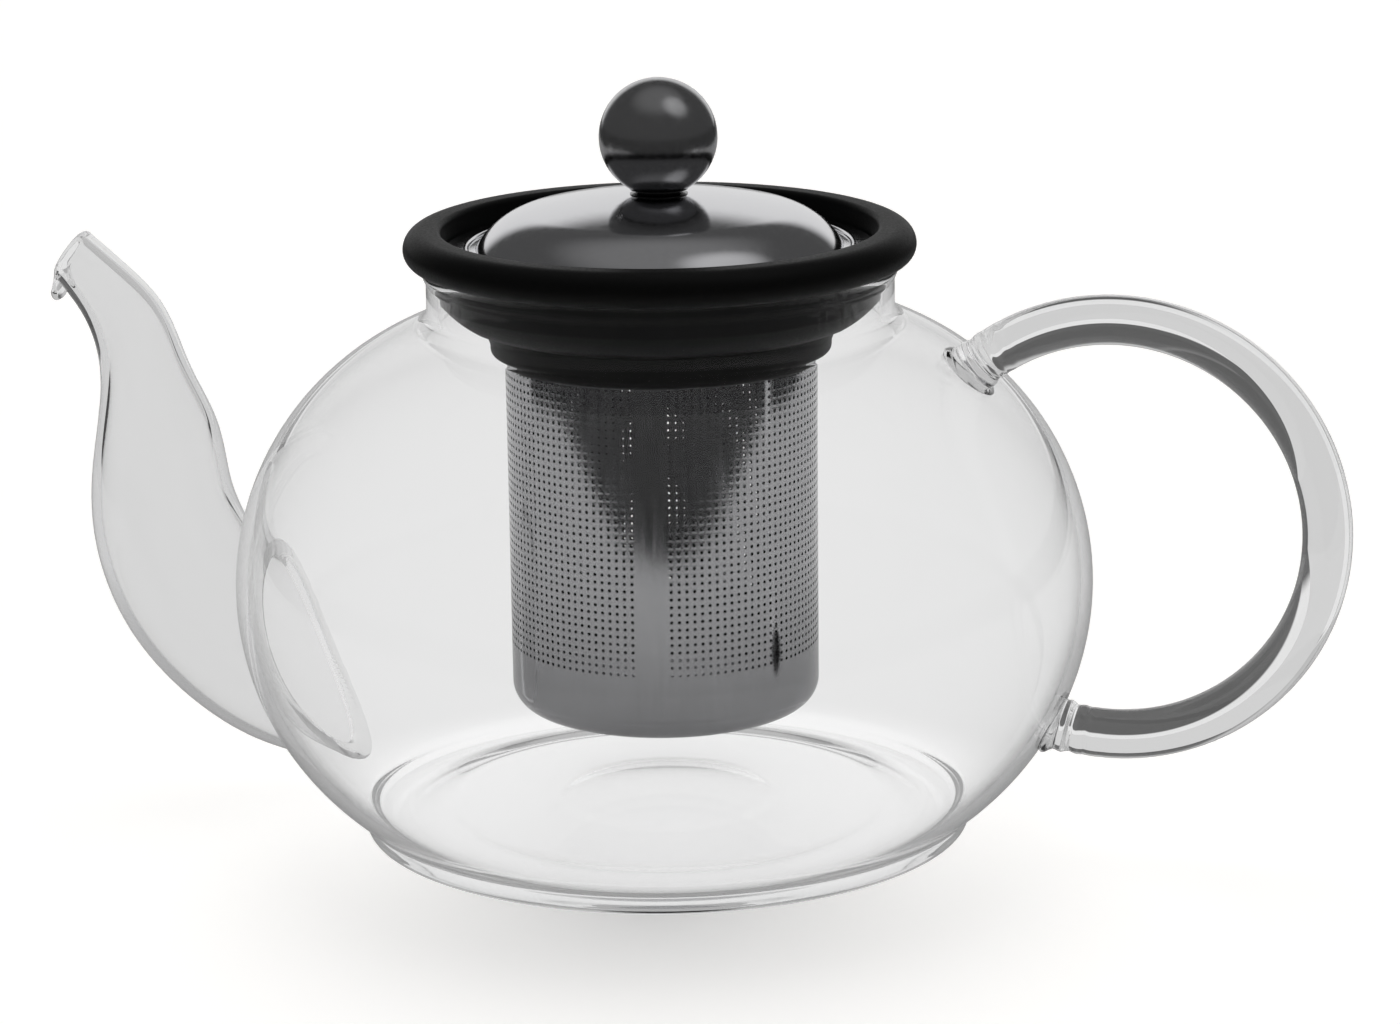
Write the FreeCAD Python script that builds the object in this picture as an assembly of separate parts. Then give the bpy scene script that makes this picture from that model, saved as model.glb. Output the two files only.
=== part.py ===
"""Glass teapot with a lift-out steel infuser in a moulded collar, and a steel lid with a ball knob.

Millimetres, Z up. The origin is the middle of the foot, on the table. The handle points along +X
and the spout along -X.
"""
import FreeCAD
import Part
import math
import os
from FreeCAD import Vector

# Blown body
BELLY_RADIUS = 75.0
BELLY_HEIGHT = 43.9
BELLY_CURVE = 49.0
GLASS_WALL = 2.0
NECK_RADIUS = 40.5
NECK_TOP = 100.8
SHOULDER_FILLET = 4.0
FOOT_RADIUS = 53.5
FOOT_ROUND = 1.5
FOOT_FACE = 5.0
BASE_RECESS = 1.5
BASE_WALL = 3.0
FLOOR_ROUND = 10.0
PUSH_UP_RADIUS = 20.0
PUSH_UP_RISE = 2.0

# Spout: each station gives the upper and the lower edge as (beyond the belly, above the belly's
# widest ring), and the half width across
SPOUT_WALL = 1.8
SPOUT_STATIONS = (
    ((-16.0, -1.0), (-26.0, -37.5), 15.0),
    ((-8.0, -0.6), (-10.0, -36.2), 15.2),
    ((-0.5, 1.2), (4.0, -32.2), 15.2),
    ((3.8, 6.3), (22.5, -17.0), 14.5),
    ((6.2, 13.1), (29.9, -1.1), 13.6),
    ((8.4, 24.3), (30.6, 15.7), 11.9),
    ((13.1, 35.0), (28.7, 29.7), 8.4),
    ((17.9, 46.0), (29.6, 38.8), 6.9),
    ((24.3, 52.6), (32.2, 44.3), 5.8),
    ((30.6, 57.9), (36.3, 49.5), 5.1),
)
LIP_BEAD = 0.95
DRIP_REACH = 3.1
DRIP_BACK = 1.4
DRIP_SPAN = 60.0

# Handle
HANDLE_ROD = 4.25
HANDLE_LOOP = 36.5
HANDLE_OUT = 4.5
HANDLE_UP = 13.1
HANDLE_WELD = 5.4
HANDLE_WELD_LENGTH = 5.0

# Flame welds: the line between the glass pieces
WELD_LINE = 0.05

# Moulded collar
PLUG_CLEARANCE = 0.35
COLLAR_SEAT_GAP = 0.05
COLLAR_RIM_RADIUS = 44.3
COLLAR_RIM_LOW_ROUND = 2.8
COLLAR_RIM_TOP_ROUND = 3.4
COLLAR_WELL_RADIUS = 37.7
COLLAR_EDGE_ROUND = 1.0
COLLAR_WALL = 2.6
COLLAR_WELL_DEPTH = 4.4
PLUG_DEPTH = 5.5
BOWL_DEPTH = 6.0
BOWL_CURVE = 14.0
SKIRT_WALL = 2.8
SKIRT_DEPTH = 5.2
SKIRT_SEAT_RISE = 2.0
SKIRT_ROUND = 1.5

# Infuser
SLEEVE_RADIUS = 27.0
SHEET = 0.5
SLEEVE_CLEARANCE = 0.15
SLEEVE_RIM = 2.7
INFUSER_DEPTH = 70.2
CUP_BAND = 11.0
CUP_ROUND = 4.5
CUP_LIP = 4.0
LIP_CLEARANCE = 0.1

# Perforation of the sleeve: its plain strip hides the rolled sheet's seam
HOLE_SIZE = 3.0
HOLE_COLUMNS = 18
HOLE_ROWS = 6
HOLE_EDGE = 2.0
SEAM_COLUMNS = 1
SEAM_TURN = -81.0

# Lid
LID_SHEET = 0.7
LID_CLEARANCE = 0.4
LID_DOME_RADIUS = 31.8
LID_DOME_RISE = 9.3
LID_DOME_SLOPE = 60.0
LID_SHOULDER = 14.0
LID_BEAD_RADIUS = 33.4
LID_BEAD = 0.5
LID_LAND_RADIUS = 6.0

# Knob
BALL_RADIUS = 10.2
KNOB_FACE_RADIUS = 5.0
SPACER_HEIGHT = 1.0
SCREW_RADIUS = 1.95
SCREW_CLEARANCE = 0.25
THREAD_CLEARANCE = 0.05
SCREW_ENGAGEMENT = 7.0
SCREW_END_ROOM = 1.5
HEAD_RADIUS = 3.8
HEAD_HEIGHT = 2.4
RECESS_WIDTH = 0.9
RECESS_LENGTH = 4.4
RECESS_DEPTH = 1.3
WASHER_RADIUS = 5.0
WASHER_HEIGHT = 0.8

Z_AXIS = Vector(0, 0, 1)
ORIGIN = Vector(0, 0, 0)


def towards(centre, target, distance):
    """Point at a distance from the centre, on the line to the target."""
    across = target[0] - centre[0]
    up = target[1] - centre[1]
    length = math.hypot(across, up)
    return centre[0] + across * distance / length, centre[1] + up * distance / length


class Outline:
    """Closed run of lines and arcs in the X-Z half plane, turned about Z into a solid."""

    def __init__(self, radius, height):
        self.first = Vector(radius, 0, height)
        self.last = self.first
        self.edges = []

    def line(self, radius, height):
        """Straight run to a point."""
        end = Vector(radius, 0, height)
        self.edges.append(Part.makeLine(self.last, end))
        self.last = end

    def arc(self, centre, end):
        """Arc about a centre, by the short way round to a point."""
        start = (self.last.x, self.last.z)
        radius = math.dist(start, centre)
        between = ((start[0] + end[0]) / 2, (start[1] + end[1]) / 2)
        middle = towards(centre, between, radius)
        finish = Vector(end[0], 0, end[1])
        way = Part.Arc(self.last, Vector(middle[0], 0, middle[1]), finish)
        self.edges.append(way.toShape())
        self.last = finish

    def turned(self):
        """Solid of the closed outline turned about Z, with its seam on the spout's side."""
        if self.last.distanceToPoint(self.first) > 1e-6:
            self.line(self.first.x, self.first.z)
        face = Part.Face(Part.Wire(self.edges))
        face.rotate(ORIGIN, Z_AXIS, 180)
        return face.revolve(ORIGIN, Z_AXIS, 360)


# Places worked out from the driving dimensions
BELLY_CENTRE = (BELLY_RADIUS - BELLY_CURVE, BELLY_HEIGHT)
NECK_BORE = NECK_RADIUS - GLASS_WALL
FILLET_ACROSS = NECK_RADIUS + SHOULDER_FILLET - BELLY_CENTRE[0]
FILLET_CENTRE = (
    NECK_RADIUS + SHOULDER_FILLET,
    BELLY_HEIGHT + math.sqrt((BELLY_CURVE + SHOULDER_FILLET) ** 2 - FILLET_ACROSS ** 2),
)
FLOOR = BASE_RECESS + BASE_WALL
COLLAR_SEAT = NECK_TOP + COLLAR_SEAT_GAP
COLLAR_TOP = COLLAR_SEAT + COLLAR_RIM_LOW_ROUND + COLLAR_RIM_TOP_ROUND
PLUG_RADIUS = NECK_BORE - PLUG_CLEARANCE
LID_SEAT = COLLAR_TOP - COLLAR_WELL_DEPTH
SLEEVE_BORE = SLEEVE_RADIUS + SLEEVE_CLEARANCE
SKIRT_RADIUS = SLEEVE_BORE + SKIRT_WALL
BOWL_TOP = COLLAR_SEAT - PLUG_DEPTH
BOWL_BOTTOM = BOWL_TOP - BOWL_DEPTH
SKIRT_END = BOWL_BOTTOM - SKIRT_DEPTH
SLEEVE_SEAT = BOWL_BOTTOM + SKIRT_SEAT_RISE
SLEEVE_TOP = SLEEVE_SEAT + SHEET
CUP_BOTTOM = SLEEVE_TOP - INFUSER_DEPTH
CUP_TOP = CUP_BOTTOM + CUP_BAND
LID_FLANGE_RADIUS = COLLAR_WELL_RADIUS - LID_CLEARANCE
LID_TOP = LID_SEAT + LID_SHEET
SHOULDER_CENTRE = (
    LID_DOME_RADIUS - LID_SHOULDER * math.sin(math.radians(LID_DOME_SLOPE)),
    LID_TOP - LID_SHOULDER * math.cos(math.radians(LID_DOME_SLOPE)),
)
CROWN_TOP = LID_TOP + LID_DOME_RISE
CROWN_DROP = CROWN_TOP - SHOULDER_CENTRE[1]
CROWN_CURVE = (SHOULDER_CENTRE[0] ** 2 + CROWN_DROP ** 2 - LID_SHOULDER ** 2) / (
    2 * (CROWN_DROP - LID_SHOULDER))
CROWN_CENTRE = (0.0, CROWN_TOP - CROWN_CURVE)
LAND = CROWN_CENTRE[1] + math.sqrt(CROWN_CURVE ** 2 - LID_LAND_RADIUS ** 2)
LAND_UNDERSIDE = CROWN_CENTRE[1] + math.sqrt((CROWN_CURVE - LID_SHEET) ** 2 - LID_LAND_RADIUS ** 2)
WASHER_BOTTOM = LAND_UNDERSIDE - WASHER_HEIGHT
KNOB_FACE = LAND + SPACER_HEIGHT
BALL_CENTRE = KNOB_FACE + math.sqrt(BALL_RADIUS ** 2 - KNOB_FACE_RADIUS ** 2)
SCREW_HOLE = SCREW_RADIUS + SCREW_CLEARANCE


def belly_run(outline, inset, low_end):
    """Neck side, shoulder fillet and belly arc, set in from the outer glass, down to a point."""
    outline.line(NECK_RADIUS - inset, FILLET_CENTRE[1])
    outline.arc(FILLET_CENTRE, towards(BELLY_CENTRE, FILLET_CENTRE, BELLY_CURVE - inset))
    outline.arc(BELLY_CENTRE, low_end)


def foot_top(inset):
    """Point where the belly arc, set in from the outer glass, reaches the foot's side."""
    radius = FOOT_RADIUS - inset
    drop = math.sqrt((BELLY_CURVE - inset) ** 2 - (radius - BELLY_CENTRE[0]) ** 2)
    return radius, BELLY_HEIGHT - drop


def body_envelope():
    """Filled outer form of the body, wider by the weld line, that trims what is welded to it."""
    outline = Outline(0, 0)
    outline.line(0, NECK_TOP)
    outline.line(NECK_RADIUS + WELD_LINE, NECK_TOP)
    belly_run(outline, -WELD_LINE, foot_top(-WELD_LINE))
    outline.line(FOOT_RADIUS + WELD_LINE, 0)
    return outline.turned()


def push_up(level):
    """Centre and crown of the shallow dome in the middle of the base, at a level of the glass."""
    curve = (PUSH_UP_RADIUS ** 2 + PUSH_UP_RISE ** 2) / (2 * PUSH_UP_RISE)
    return (0.0, level + PUSH_UP_RISE - curve), (0.0, level + PUSH_UP_RISE)


def make_body(passage):
    """Blown body with a fire-polished neck, a foot ring, a push-up base and the spout's hole."""
    lip = GLASS_WALL / 2
    lip_centre = (NECK_RADIUS - lip, NECK_TOP - lip)
    face_outer = FOOT_RADIUS - FOOT_ROUND
    face_inner = face_outer - FOOT_FACE
    under_centre, under_crown = push_up(BASE_RECESS)
    floor_centre, floor_crown = push_up(FLOOR)
    corner_reach = BELLY_CURVE - GLASS_WALL - FLOOR_ROUND
    corner_rise = FLOOR + FLOOR_ROUND
    corner = (
        BELLY_CENTRE[0] + math.sqrt(corner_reach ** 2 - (BELLY_HEIGHT - corner_rise) ** 2),
        corner_rise,
    )
    outline = Outline(lip_centre[0], NECK_TOP)
    outline.arc(lip_centre, (NECK_RADIUS, lip_centre[1]))
    belly_run(outline, 0, foot_top(0))
    outline.line(FOOT_RADIUS, FOOT_ROUND)
    outline.arc((face_outer, FOOT_ROUND), (face_outer, 0))
    outline.line(face_inner, 0)
    outline.arc((face_inner - BASE_RECESS, 0), (face_inner - BASE_RECESS, BASE_RECESS))
    outline.line(PUSH_UP_RADIUS, BASE_RECESS)
    outline.arc(under_centre, under_crown)
    outline.line(0, floor_crown[1])
    outline.arc(floor_centre, (PUSH_UP_RADIUS, FLOOR))
    outline.line(corner[0], FLOOR)
    outline.arc(corner, towards(BELLY_CENTRE, corner, BELLY_CURVE - GLASS_WALL))
    outline.arc(BELLY_CENTRE, towards(BELLY_CENTRE, FILLET_CENTRE, BELLY_CURVE - GLASS_WALL))
    outline.arc(FILLET_CENTRE, (NECK_BORE, FILLET_CENTRE[1]))
    outline.line(NECK_BORE, lip_centre[1])
    outline.arc(lip_centre, (lip_centre[0], NECK_TOP))
    return outline.turned().cut(passage)


def spout_point(place):
    """Point of the spout's middle plane, from its places beyond and above the belly's ring."""
    return Vector(-(BELLY_RADIUS + place[0]), 0, BELLY_HEIGHT + place[1])


def spout_section(station, inset):
    """Oval wire of one station in four quarters, set in from the outer glass."""
    upper = spout_point(station[0])
    lower = spout_point(station[1])
    centre = (upper + lower) / 2
    rise = upper - centre
    rise = rise * ((rise.Length - inset) / rise.Length)
    across = Vector(0, station[2] - inset, 0)
    quarter = math.pi / 2
    steps = 4

    def place(turn):
        return centre + rise * math.cos(turn) + across * math.sin(turn)

    def heading(turn):
        return across * math.cos(turn) - rise * math.sin(turn)

    edges = []
    for start in (0, quarter, 2 * quarter, 3 * quarter):
        points = [place(start + quarter * step / steps) for step in range(steps + 1)]
        curve = Part.BSplineCurve()
        curve.interpolate(Points=points, InitialTangent=heading(start),
                          FinalTangent=heading(start + quarter))
        edges.append(curve.toShape())
    return Part.Wire(edges)


def spout_form(inset):
    """Tapering S-shaped solid through the stations, set in from the outer glass."""
    ruled = False
    closed = False
    degree = 3
    sections = [spout_section(station, inset) for station in SPOUT_STATIONS]
    return Part.makeLoft(sections, True, ruled, closed, degree)


def make_spout(passage):
    """Hollow spout, trimmed to the belly, with a rolled mouth and a curled lip that sheds drips."""
    wall = spout_form(0).cut(body_envelope()).cut(passage)
    upper = spout_point(SPOUT_STATIONS[-1][0])
    lower = spout_point(SPOUT_STATIONS[-1][1])
    centre = (upper + lower) / 2
    down = (lower - centre).normalize()
    side = Vector(0, 1, 0)
    out = down.cross(side)
    rim = centre + down * ((lower - centre).Length - SPOUT_WALL / 2)
    curl = rim + down * DRIP_REACH - out * DRIP_BACK
    rolled = Part.Face(Part.Wire(Part.makeCircle(LIP_BEAD, rim, side))).revolve(centre, out, 360)
    slope = (curl - rim).normalize()
    edge = slope.cross(side) * LIP_BEAD
    outline = Part.Wire([
        Part.makeLine(rim + edge, curl + edge),
        Part.Arc(curl + edge, curl + slope * LIP_BEAD, curl - edge).toShape(),
        Part.makeLine(curl - edge, rim - edge),
        Part.Arc(rim - edge, rim - slope * LIP_BEAD, rim + edge).toShape(),
    ])
    tongue = Part.Face(outline)
    tongue.rotate(centre, out, -DRIP_SPAN / 2)
    tongue = tongue.revolve(centre, out, DRIP_SPAN)
    return wall.fuse([rolled, tongue])


def make_handle():
    """Bent glass rod, closed on the belly by a flared weld at each end."""
    centre = (BELLY_RADIUS + HANDLE_OUT, BELLY_HEIGHT + HANDLE_UP)
    apart = math.dist(centre, BELLY_CENTRE)
    facing = math.atan2(BELLY_CENTRE[1] - centre[1], BELLY_CENTRE[0] - centre[0])
    spread = math.acos((apart ** 2 + HANDLE_LOOP ** 2 - BELLY_CURVE ** 2) / (2 * apart * HANDLE_LOOP))
    overrun = HANDLE_WELD_LENGTH / HANDLE_LOOP
    middle = Vector(centre[0], 0, centre[1])
    side = Vector(0, 1, 0)

    def loop_point(turn):
        return middle + Vector(math.cos(turn), 0, math.sin(turn)) * HANDLE_LOOP

    def along(turn):
        return Vector(-math.sin(turn), 0, math.cos(turn))

    upper = facing - spread
    lower = facing + spread - 2 * math.pi
    start = lower - overrun
    sweep = upper - lower + 2 * overrun
    section = Part.Face(Part.Wire(Part.makeCircle(HANDLE_ROD, loop_point(start), along(start))))
    rod = section.revolve(middle, side, -math.degrees(sweep))
    for turn, sign in ((upper, 1), (lower, -1)):
        begin = turn - sign * overrun
        flare = Part.makeCone(HANDLE_ROD, HANDLE_WELD, HANDLE_WELD_LENGTH,
                              loop_point(begin), along(turn) * sign)
        root = Part.makeCylinder(HANDLE_WELD, HANDLE_WELD_LENGTH,
                                 loop_point(begin) + along(turn) * (sign * HANDLE_WELD_LENGTH),
                                 along(turn) * sign)
        rod = rod.fuse([flare, root])
    return rod.cut(body_envelope())


def make_collar():
    """Moulded collar: rim over the neck, well for the lid, bowl-shaped plug and the sleeve's skirt."""
    rim_low = COLLAR_RIM_RADIUS - COLLAR_RIM_LOW_ROUND
    rim_mid = COLLAR_SEAT + COLLAR_RIM_LOW_ROUND
    crest = COLLAR_RIM_RADIUS - COLLAR_RIM_TOP_ROUND
    edge = COLLAR_WELL_RADIUS + COLLAR_EDGE_ROUND
    edge_low = COLLAR_TOP - COLLAR_EDGE_ROUND
    ledge = PLUG_RADIUS - COLLAR_WALL
    chord = math.dist((PLUG_RADIUS, BOWL_TOP), (SKIRT_RADIUS, BOWL_BOTTOM))
    between = ((PLUG_RADIUS + SKIRT_RADIUS) / 2, (BOWL_TOP + BOWL_BOTTOM) / 2)
    inward = ((BOWL_BOTTOM - BOWL_TOP) / chord, (PLUG_RADIUS - SKIRT_RADIUS) / chord)
    setback = math.sqrt(BOWL_CURVE ** 2 - (chord / 2) ** 2)
    bowl_centre = (between[0] + inward[0] * setback, between[1] + inward[1] * setback)
    skirt_corner = (SKIRT_RADIUS - SKIRT_ROUND, SKIRT_END + SKIRT_ROUND)
    outline = Outline(PLUG_RADIUS, COLLAR_SEAT)
    outline.line(rim_low, COLLAR_SEAT)
    outline.arc((rim_low, rim_mid), (COLLAR_RIM_RADIUS, rim_mid))
    outline.arc((crest, rim_mid), (crest, COLLAR_TOP))
    outline.line(edge, COLLAR_TOP)
    outline.arc((edge, edge_low), (COLLAR_WELL_RADIUS, edge_low))
    outline.line(COLLAR_WELL_RADIUS, LID_SEAT)
    outline.line(ledge, LID_SEAT)
    outline.line(ledge, BOWL_TOP)
    outline.line(SLEEVE_RADIUS + SLEEVE_RIM + SLEEVE_CLEARANCE, SLEEVE_SEAT)
    outline.line(SLEEVE_BORE, SLEEVE_SEAT)
    outline.line(SLEEVE_BORE, SKIRT_END)
    outline.line(skirt_corner[0], SKIRT_END)
    outline.arc(skirt_corner, (SKIRT_RADIUS, skirt_corner[1]))
    outline.line(SKIRT_RADIUS, BOWL_BOTTOM)
    outline.arc(bowl_centre, (PLUG_RADIUS, BOWL_TOP))
    return outline.turned()


def make_sleeve():
    """Rolled perforated sleeve with an out-turned rim that rests in the collar."""
    outline = Outline(SLEEVE_RADIUS, CUP_TOP)
    outline.line(SLEEVE_RADIUS, SLEEVE_SEAT)
    outline.line(SLEEVE_RADIUS + SLEEVE_RIM, SLEEVE_SEAT)
    outline.line(SLEEVE_RADIUS + SLEEVE_RIM, SLEEVE_TOP)
    outline.line(SLEEVE_RADIUS - SHEET, SLEEVE_TOP)
    outline.line(SLEEVE_RADIUS - SHEET, CUP_TOP)
    return outline.turned().cut(sleeve_holes())


def sleeve_holes():
    """Square holes in columns and rows, from above the cup's lip to below the collar's skirt."""
    lowest = CUP_TOP + CUP_LIP + HOLE_EDGE
    pitch = (SKIRT_END - HOLE_EDGE - HOLE_SIZE - lowest) / (HOLE_ROWS - 1)
    holes = []
    for column in range(SEAM_COLUMNS, HOLE_COLUMNS):
        turn = SEAM_TURN + 360 * (column - (SEAM_COLUMNS - 1) / 2) / HOLE_COLUMNS
        for row in range(HOLE_ROWS):
            corner = Vector(SLEEVE_RADIUS - 2 * SHEET, -HOLE_SIZE / 2, lowest + row * pitch)
            hole = Part.makeBox(3 * SHEET, HOLE_SIZE, HOLE_SIZE, corner)
            hole.rotate(ORIGIN, Z_AXIS, turn)
            holes.append(hole)
    return holes


def make_cup():
    """Drawn base cup with a rounded corner, and a set-in lip that holds it in the sleeve."""
    lip = SLEEVE_RADIUS - SHEET - LIP_CLEARANCE
    inside = SLEEVE_RADIUS - SHEET
    corner = (SLEEVE_RADIUS - CUP_ROUND, CUP_BOTTOM + CUP_ROUND)
    outline = Outline(0, CUP_BOTTOM)
    outline.line(corner[0], CUP_BOTTOM)
    outline.arc(corner, (SLEEVE_RADIUS, corner[1]))
    outline.line(SLEEVE_RADIUS, CUP_TOP)
    outline.line(lip, CUP_TOP)
    outline.line(lip, CUP_TOP + CUP_LIP)
    outline.line(lip - SHEET, CUP_TOP + CUP_LIP)
    outline.line(lip - SHEET, CUP_TOP - SHEET)
    outline.line(inside, CUP_TOP - SHEET - LIP_CLEARANCE)
    outline.line(inside, corner[1])
    outline.arc(corner, (corner[0], CUP_BOTTOM + SHEET))
    outline.line(0, CUP_BOTTOM + SHEET)
    return outline.turned()


def make_lid():
    """Pressed lid: flat flange, a round bead, a round shoulder and a shallow crown."""
    bead_out = LID_BEAD_RADIUS + LID_BEAD
    bead_in = LID_BEAD_RADIUS - LID_BEAD
    foot_up = LID_SEAT - SHOULDER_CENTRE[1]
    inner_foot = SHOULDER_CENTRE[0] + math.sqrt((LID_SHOULDER - LID_SHEET) ** 2 - foot_up ** 2)
    outline = Outline(LID_FLANGE_RADIUS, LID_SEAT)
    outline.line(LID_FLANGE_RADIUS, LID_TOP)
    outline.line(bead_out, LID_TOP)
    outline.arc((LID_BEAD_RADIUS, LID_TOP), (LID_BEAD_RADIUS, LID_TOP + LID_BEAD))
    outline.arc((LID_BEAD_RADIUS, LID_TOP), (bead_in, LID_TOP))
    outline.line(LID_DOME_RADIUS, LID_TOP)
    outline.arc(SHOULDER_CENTRE, towards(CROWN_CENTRE, SHOULDER_CENTRE, CROWN_CURVE))
    outline.arc(CROWN_CENTRE, (LID_LAND_RADIUS, LAND))
    outline.line(SCREW_HOLE, LAND)
    outline.line(SCREW_HOLE, LAND_UNDERSIDE)
    outline.line(LID_LAND_RADIUS, LAND_UNDERSIDE)
    outline.arc(CROWN_CENTRE, towards(CROWN_CENTRE, SHOULDER_CENTRE, CROWN_CURVE - LID_SHEET))
    outline.arc(SHOULDER_CENTRE, (inner_foot, LID_SEAT))
    return outline.turned()


def make_spacer():
    """Short round spacer between the lid and the ball."""
    ring = Part.makeCylinder(KNOB_FACE_RADIUS, SPACER_HEIGHT, Vector(0, 0, LAND))
    return ring.cut(Part.makeCylinder(SCREW_HOLE, SPACER_HEIGHT, Vector(0, 0, LAND)))


def make_ball():
    """Ball with a flat where it meets the spacer, and a blind threaded hole."""
    ball = Part.makeSphere(BALL_RADIUS, Vector(0, 0, BALL_CENTRE))
    below = Part.makeCylinder(BALL_RADIUS, BALL_RADIUS, Vector(0, 0, KNOB_FACE - BALL_RADIUS))
    depth = SCREW_ENGAGEMENT + SCREW_END_ROOM
    hole = Part.makeCylinder(SCREW_RADIUS + THREAD_CLEARANCE, depth, Vector(0, 0, KNOB_FACE))
    return ball.cut([below, hole])


def make_washer():
    """Flat washer under the lid."""
    low = Vector(0, 0, WASHER_BOTTOM)
    ring = Part.makeCylinder(WASHER_RADIUS, WASHER_HEIGHT, low)
    return ring.cut(Part.makeCylinder(SCREW_HOLE, WASHER_HEIGHT, low))


def make_screw():
    """Pan-head screw with a cross recess, up through the washer, lid and spacer into the ball."""
    head_bottom = WASHER_BOTTOM - HEAD_HEIGHT
    head = Part.makeCylinder(HEAD_RADIUS, HEAD_HEIGHT, Vector(0, 0, head_bottom))
    rim = [edge for edge in head.Edges if abs(edge.CenterOfMass.z - head_bottom) < 1e-6]
    head = head.makeFillet(HEAD_HEIGHT / 2, rim)
    tip = KNOB_FACE + SCREW_ENGAGEMENT
    shank = Part.makeCylinder(SCREW_RADIUS, tip - WASHER_BOTTOM, Vector(0, 0, WASHER_BOTTOM))
    slots = []
    for length, width in ((RECESS_LENGTH, RECESS_WIDTH), (RECESS_WIDTH, RECESS_LENGTH)):
        corner = Vector(-length / 2, -width / 2, head_bottom)
        slots.append(Part.makeBox(length, width, RECESS_DEPTH, corner))
    return head.fuse(shank).cut(slots).removeSplitter()


def main():
    """Build each piece and write it to its own file."""
    os.makedirs("parts", exist_ok=True)
    passage = spout_form(SPOUT_WALL)
    pieces = {
        "glass_body": make_body(passage),
        "spout": make_spout(passage),
        "handle": make_handle(),
        "collar": make_collar(),
        "infuser_sleeve": make_sleeve(),
        "infuser_cup": make_cup(),
        "lid_shell": make_lid(),
        "knob_spacer": make_spacer(),
        "knob_ball": make_ball(),
        "knob_washer": make_washer(),
        "knob_screw": make_screw(),
    }
    for name, shape in pieces.items():
        shape.exportStep("parts/" + name + ".step")
        box = shape.optimalBoundingBox(False)
        print(name, "solids", len(shape.Solids), "valid", shape.isValid(),
              "volume", round(shape.Volume, 1),
              "x", round(box.XMin, 1), round(box.XMax, 1), "z", round(box.ZMin, 1), round(box.ZMax, 1))


main()
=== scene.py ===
"""Glass teapot with a lift-out infuser: detailed surfaces, finishes, light and camera.

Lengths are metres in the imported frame: Z up, the handle along +X and the spout along -X.
"""
import math

import bmesh
import bpy
import numpy as np
from bpy.props import FloatProperty, FloatVectorProperty, PointerProperty
from mathutils import Matrix, Vector


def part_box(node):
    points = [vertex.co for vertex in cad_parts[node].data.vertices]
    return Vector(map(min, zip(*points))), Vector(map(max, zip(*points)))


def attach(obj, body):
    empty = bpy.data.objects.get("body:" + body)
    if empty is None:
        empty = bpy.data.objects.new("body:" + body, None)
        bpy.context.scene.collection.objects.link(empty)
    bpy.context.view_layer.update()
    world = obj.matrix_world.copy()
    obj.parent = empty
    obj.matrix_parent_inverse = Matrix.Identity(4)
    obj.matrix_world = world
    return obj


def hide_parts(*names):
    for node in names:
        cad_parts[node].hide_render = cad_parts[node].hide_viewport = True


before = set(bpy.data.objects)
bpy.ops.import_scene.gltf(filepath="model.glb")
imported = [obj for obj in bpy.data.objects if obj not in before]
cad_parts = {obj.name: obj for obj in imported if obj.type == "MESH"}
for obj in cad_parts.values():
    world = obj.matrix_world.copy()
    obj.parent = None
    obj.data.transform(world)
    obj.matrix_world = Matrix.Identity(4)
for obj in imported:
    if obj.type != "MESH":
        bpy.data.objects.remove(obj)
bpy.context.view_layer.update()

bl_info = {
    "name": "Glass Teapot",
    "version": (1, 0, 0),
    "blender": (4, 5, 0),
    "location": "View3D > Sidebar > Teapot",
    "description": "Dresses the teapot's frame with glass, steel and moulded surfaces",
    "category": "Object",
}

MM = 0.001
BODY_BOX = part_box("glass_body")
COLLAR_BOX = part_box("collar")
SLEEVE_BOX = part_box("infuser_sleeve")
CUP_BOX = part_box("infuser_cup")
LID_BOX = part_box("lid_shell")
SPACER_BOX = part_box("knob_spacer")
BALL_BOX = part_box("knob_ball")
WASHER_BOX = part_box("knob_washer")
SCREW_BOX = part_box("knob_screw")

# Spout stations in millimetres: the upper and the lower edge as (beyond the belly, above the
# belly's widest ring), and the half width across
SPOUT_STATIONS = (
    ((-16.0, -1.0), (-26.0, -37.5), 15.0),
    ((-8.0, -0.6), (-10.0, -36.2), 15.2),
    ((-0.5, 1.2), (4.0, -32.2), 15.2),
    ((3.8, 6.3), (22.5, -17.0), 14.5),
    ((6.2, 13.1), (29.9, -1.1), 13.6),
    ((8.4, 24.3), (30.6, 15.7), 11.9),
    ((13.1, 35.0), (28.7, 29.7), 8.4),
    ((17.9, 46.0), (29.6, 38.8), 6.9),
    ((24.3, 52.6), (32.2, 44.3), 5.8),
    ((30.6, 57.9), (36.3, 49.5), 5.1),
)

# Small fits and details
NECK_BEAD_RUN = 2.0 * MM
PASSAGE_DEPTH = 2.3 * MM
WELD_GAP = 0.02 * MM
WELD_SINK = 1.2 * MM
WELD_RING_HEIGHT = 0.35 * MM
WELD_RING_PITCH = 2.6 * MM
SMALL_ROUND = 0.3 * MM
SLEEVE_CLEARANCE = 0.15 * MM
LIP_CLEARANCE = 0.1 * MM
EDGE_STRIP = 0.6 * MM
HOLE_RUN_UP = 1.0 * MM
SCREW_CLEARANCE = 0.25 * MM
THREAD_CLEARANCE = 0.05 * MM
SCREW_END_ROOM = 1.5 * MM
RING_ROUND = 0.12 * MM
SPACER_WAIST = 1.2 * MM
THREAD_RUN_OUT = 0.5 * MM
RECESS_LENGTH = 4.4 * MM
RECESS_WIDTH = 0.9 * MM
RECESS_DEPTH = 1.3 * MM
RECESS_EDGE = 0.08 * MM

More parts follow.
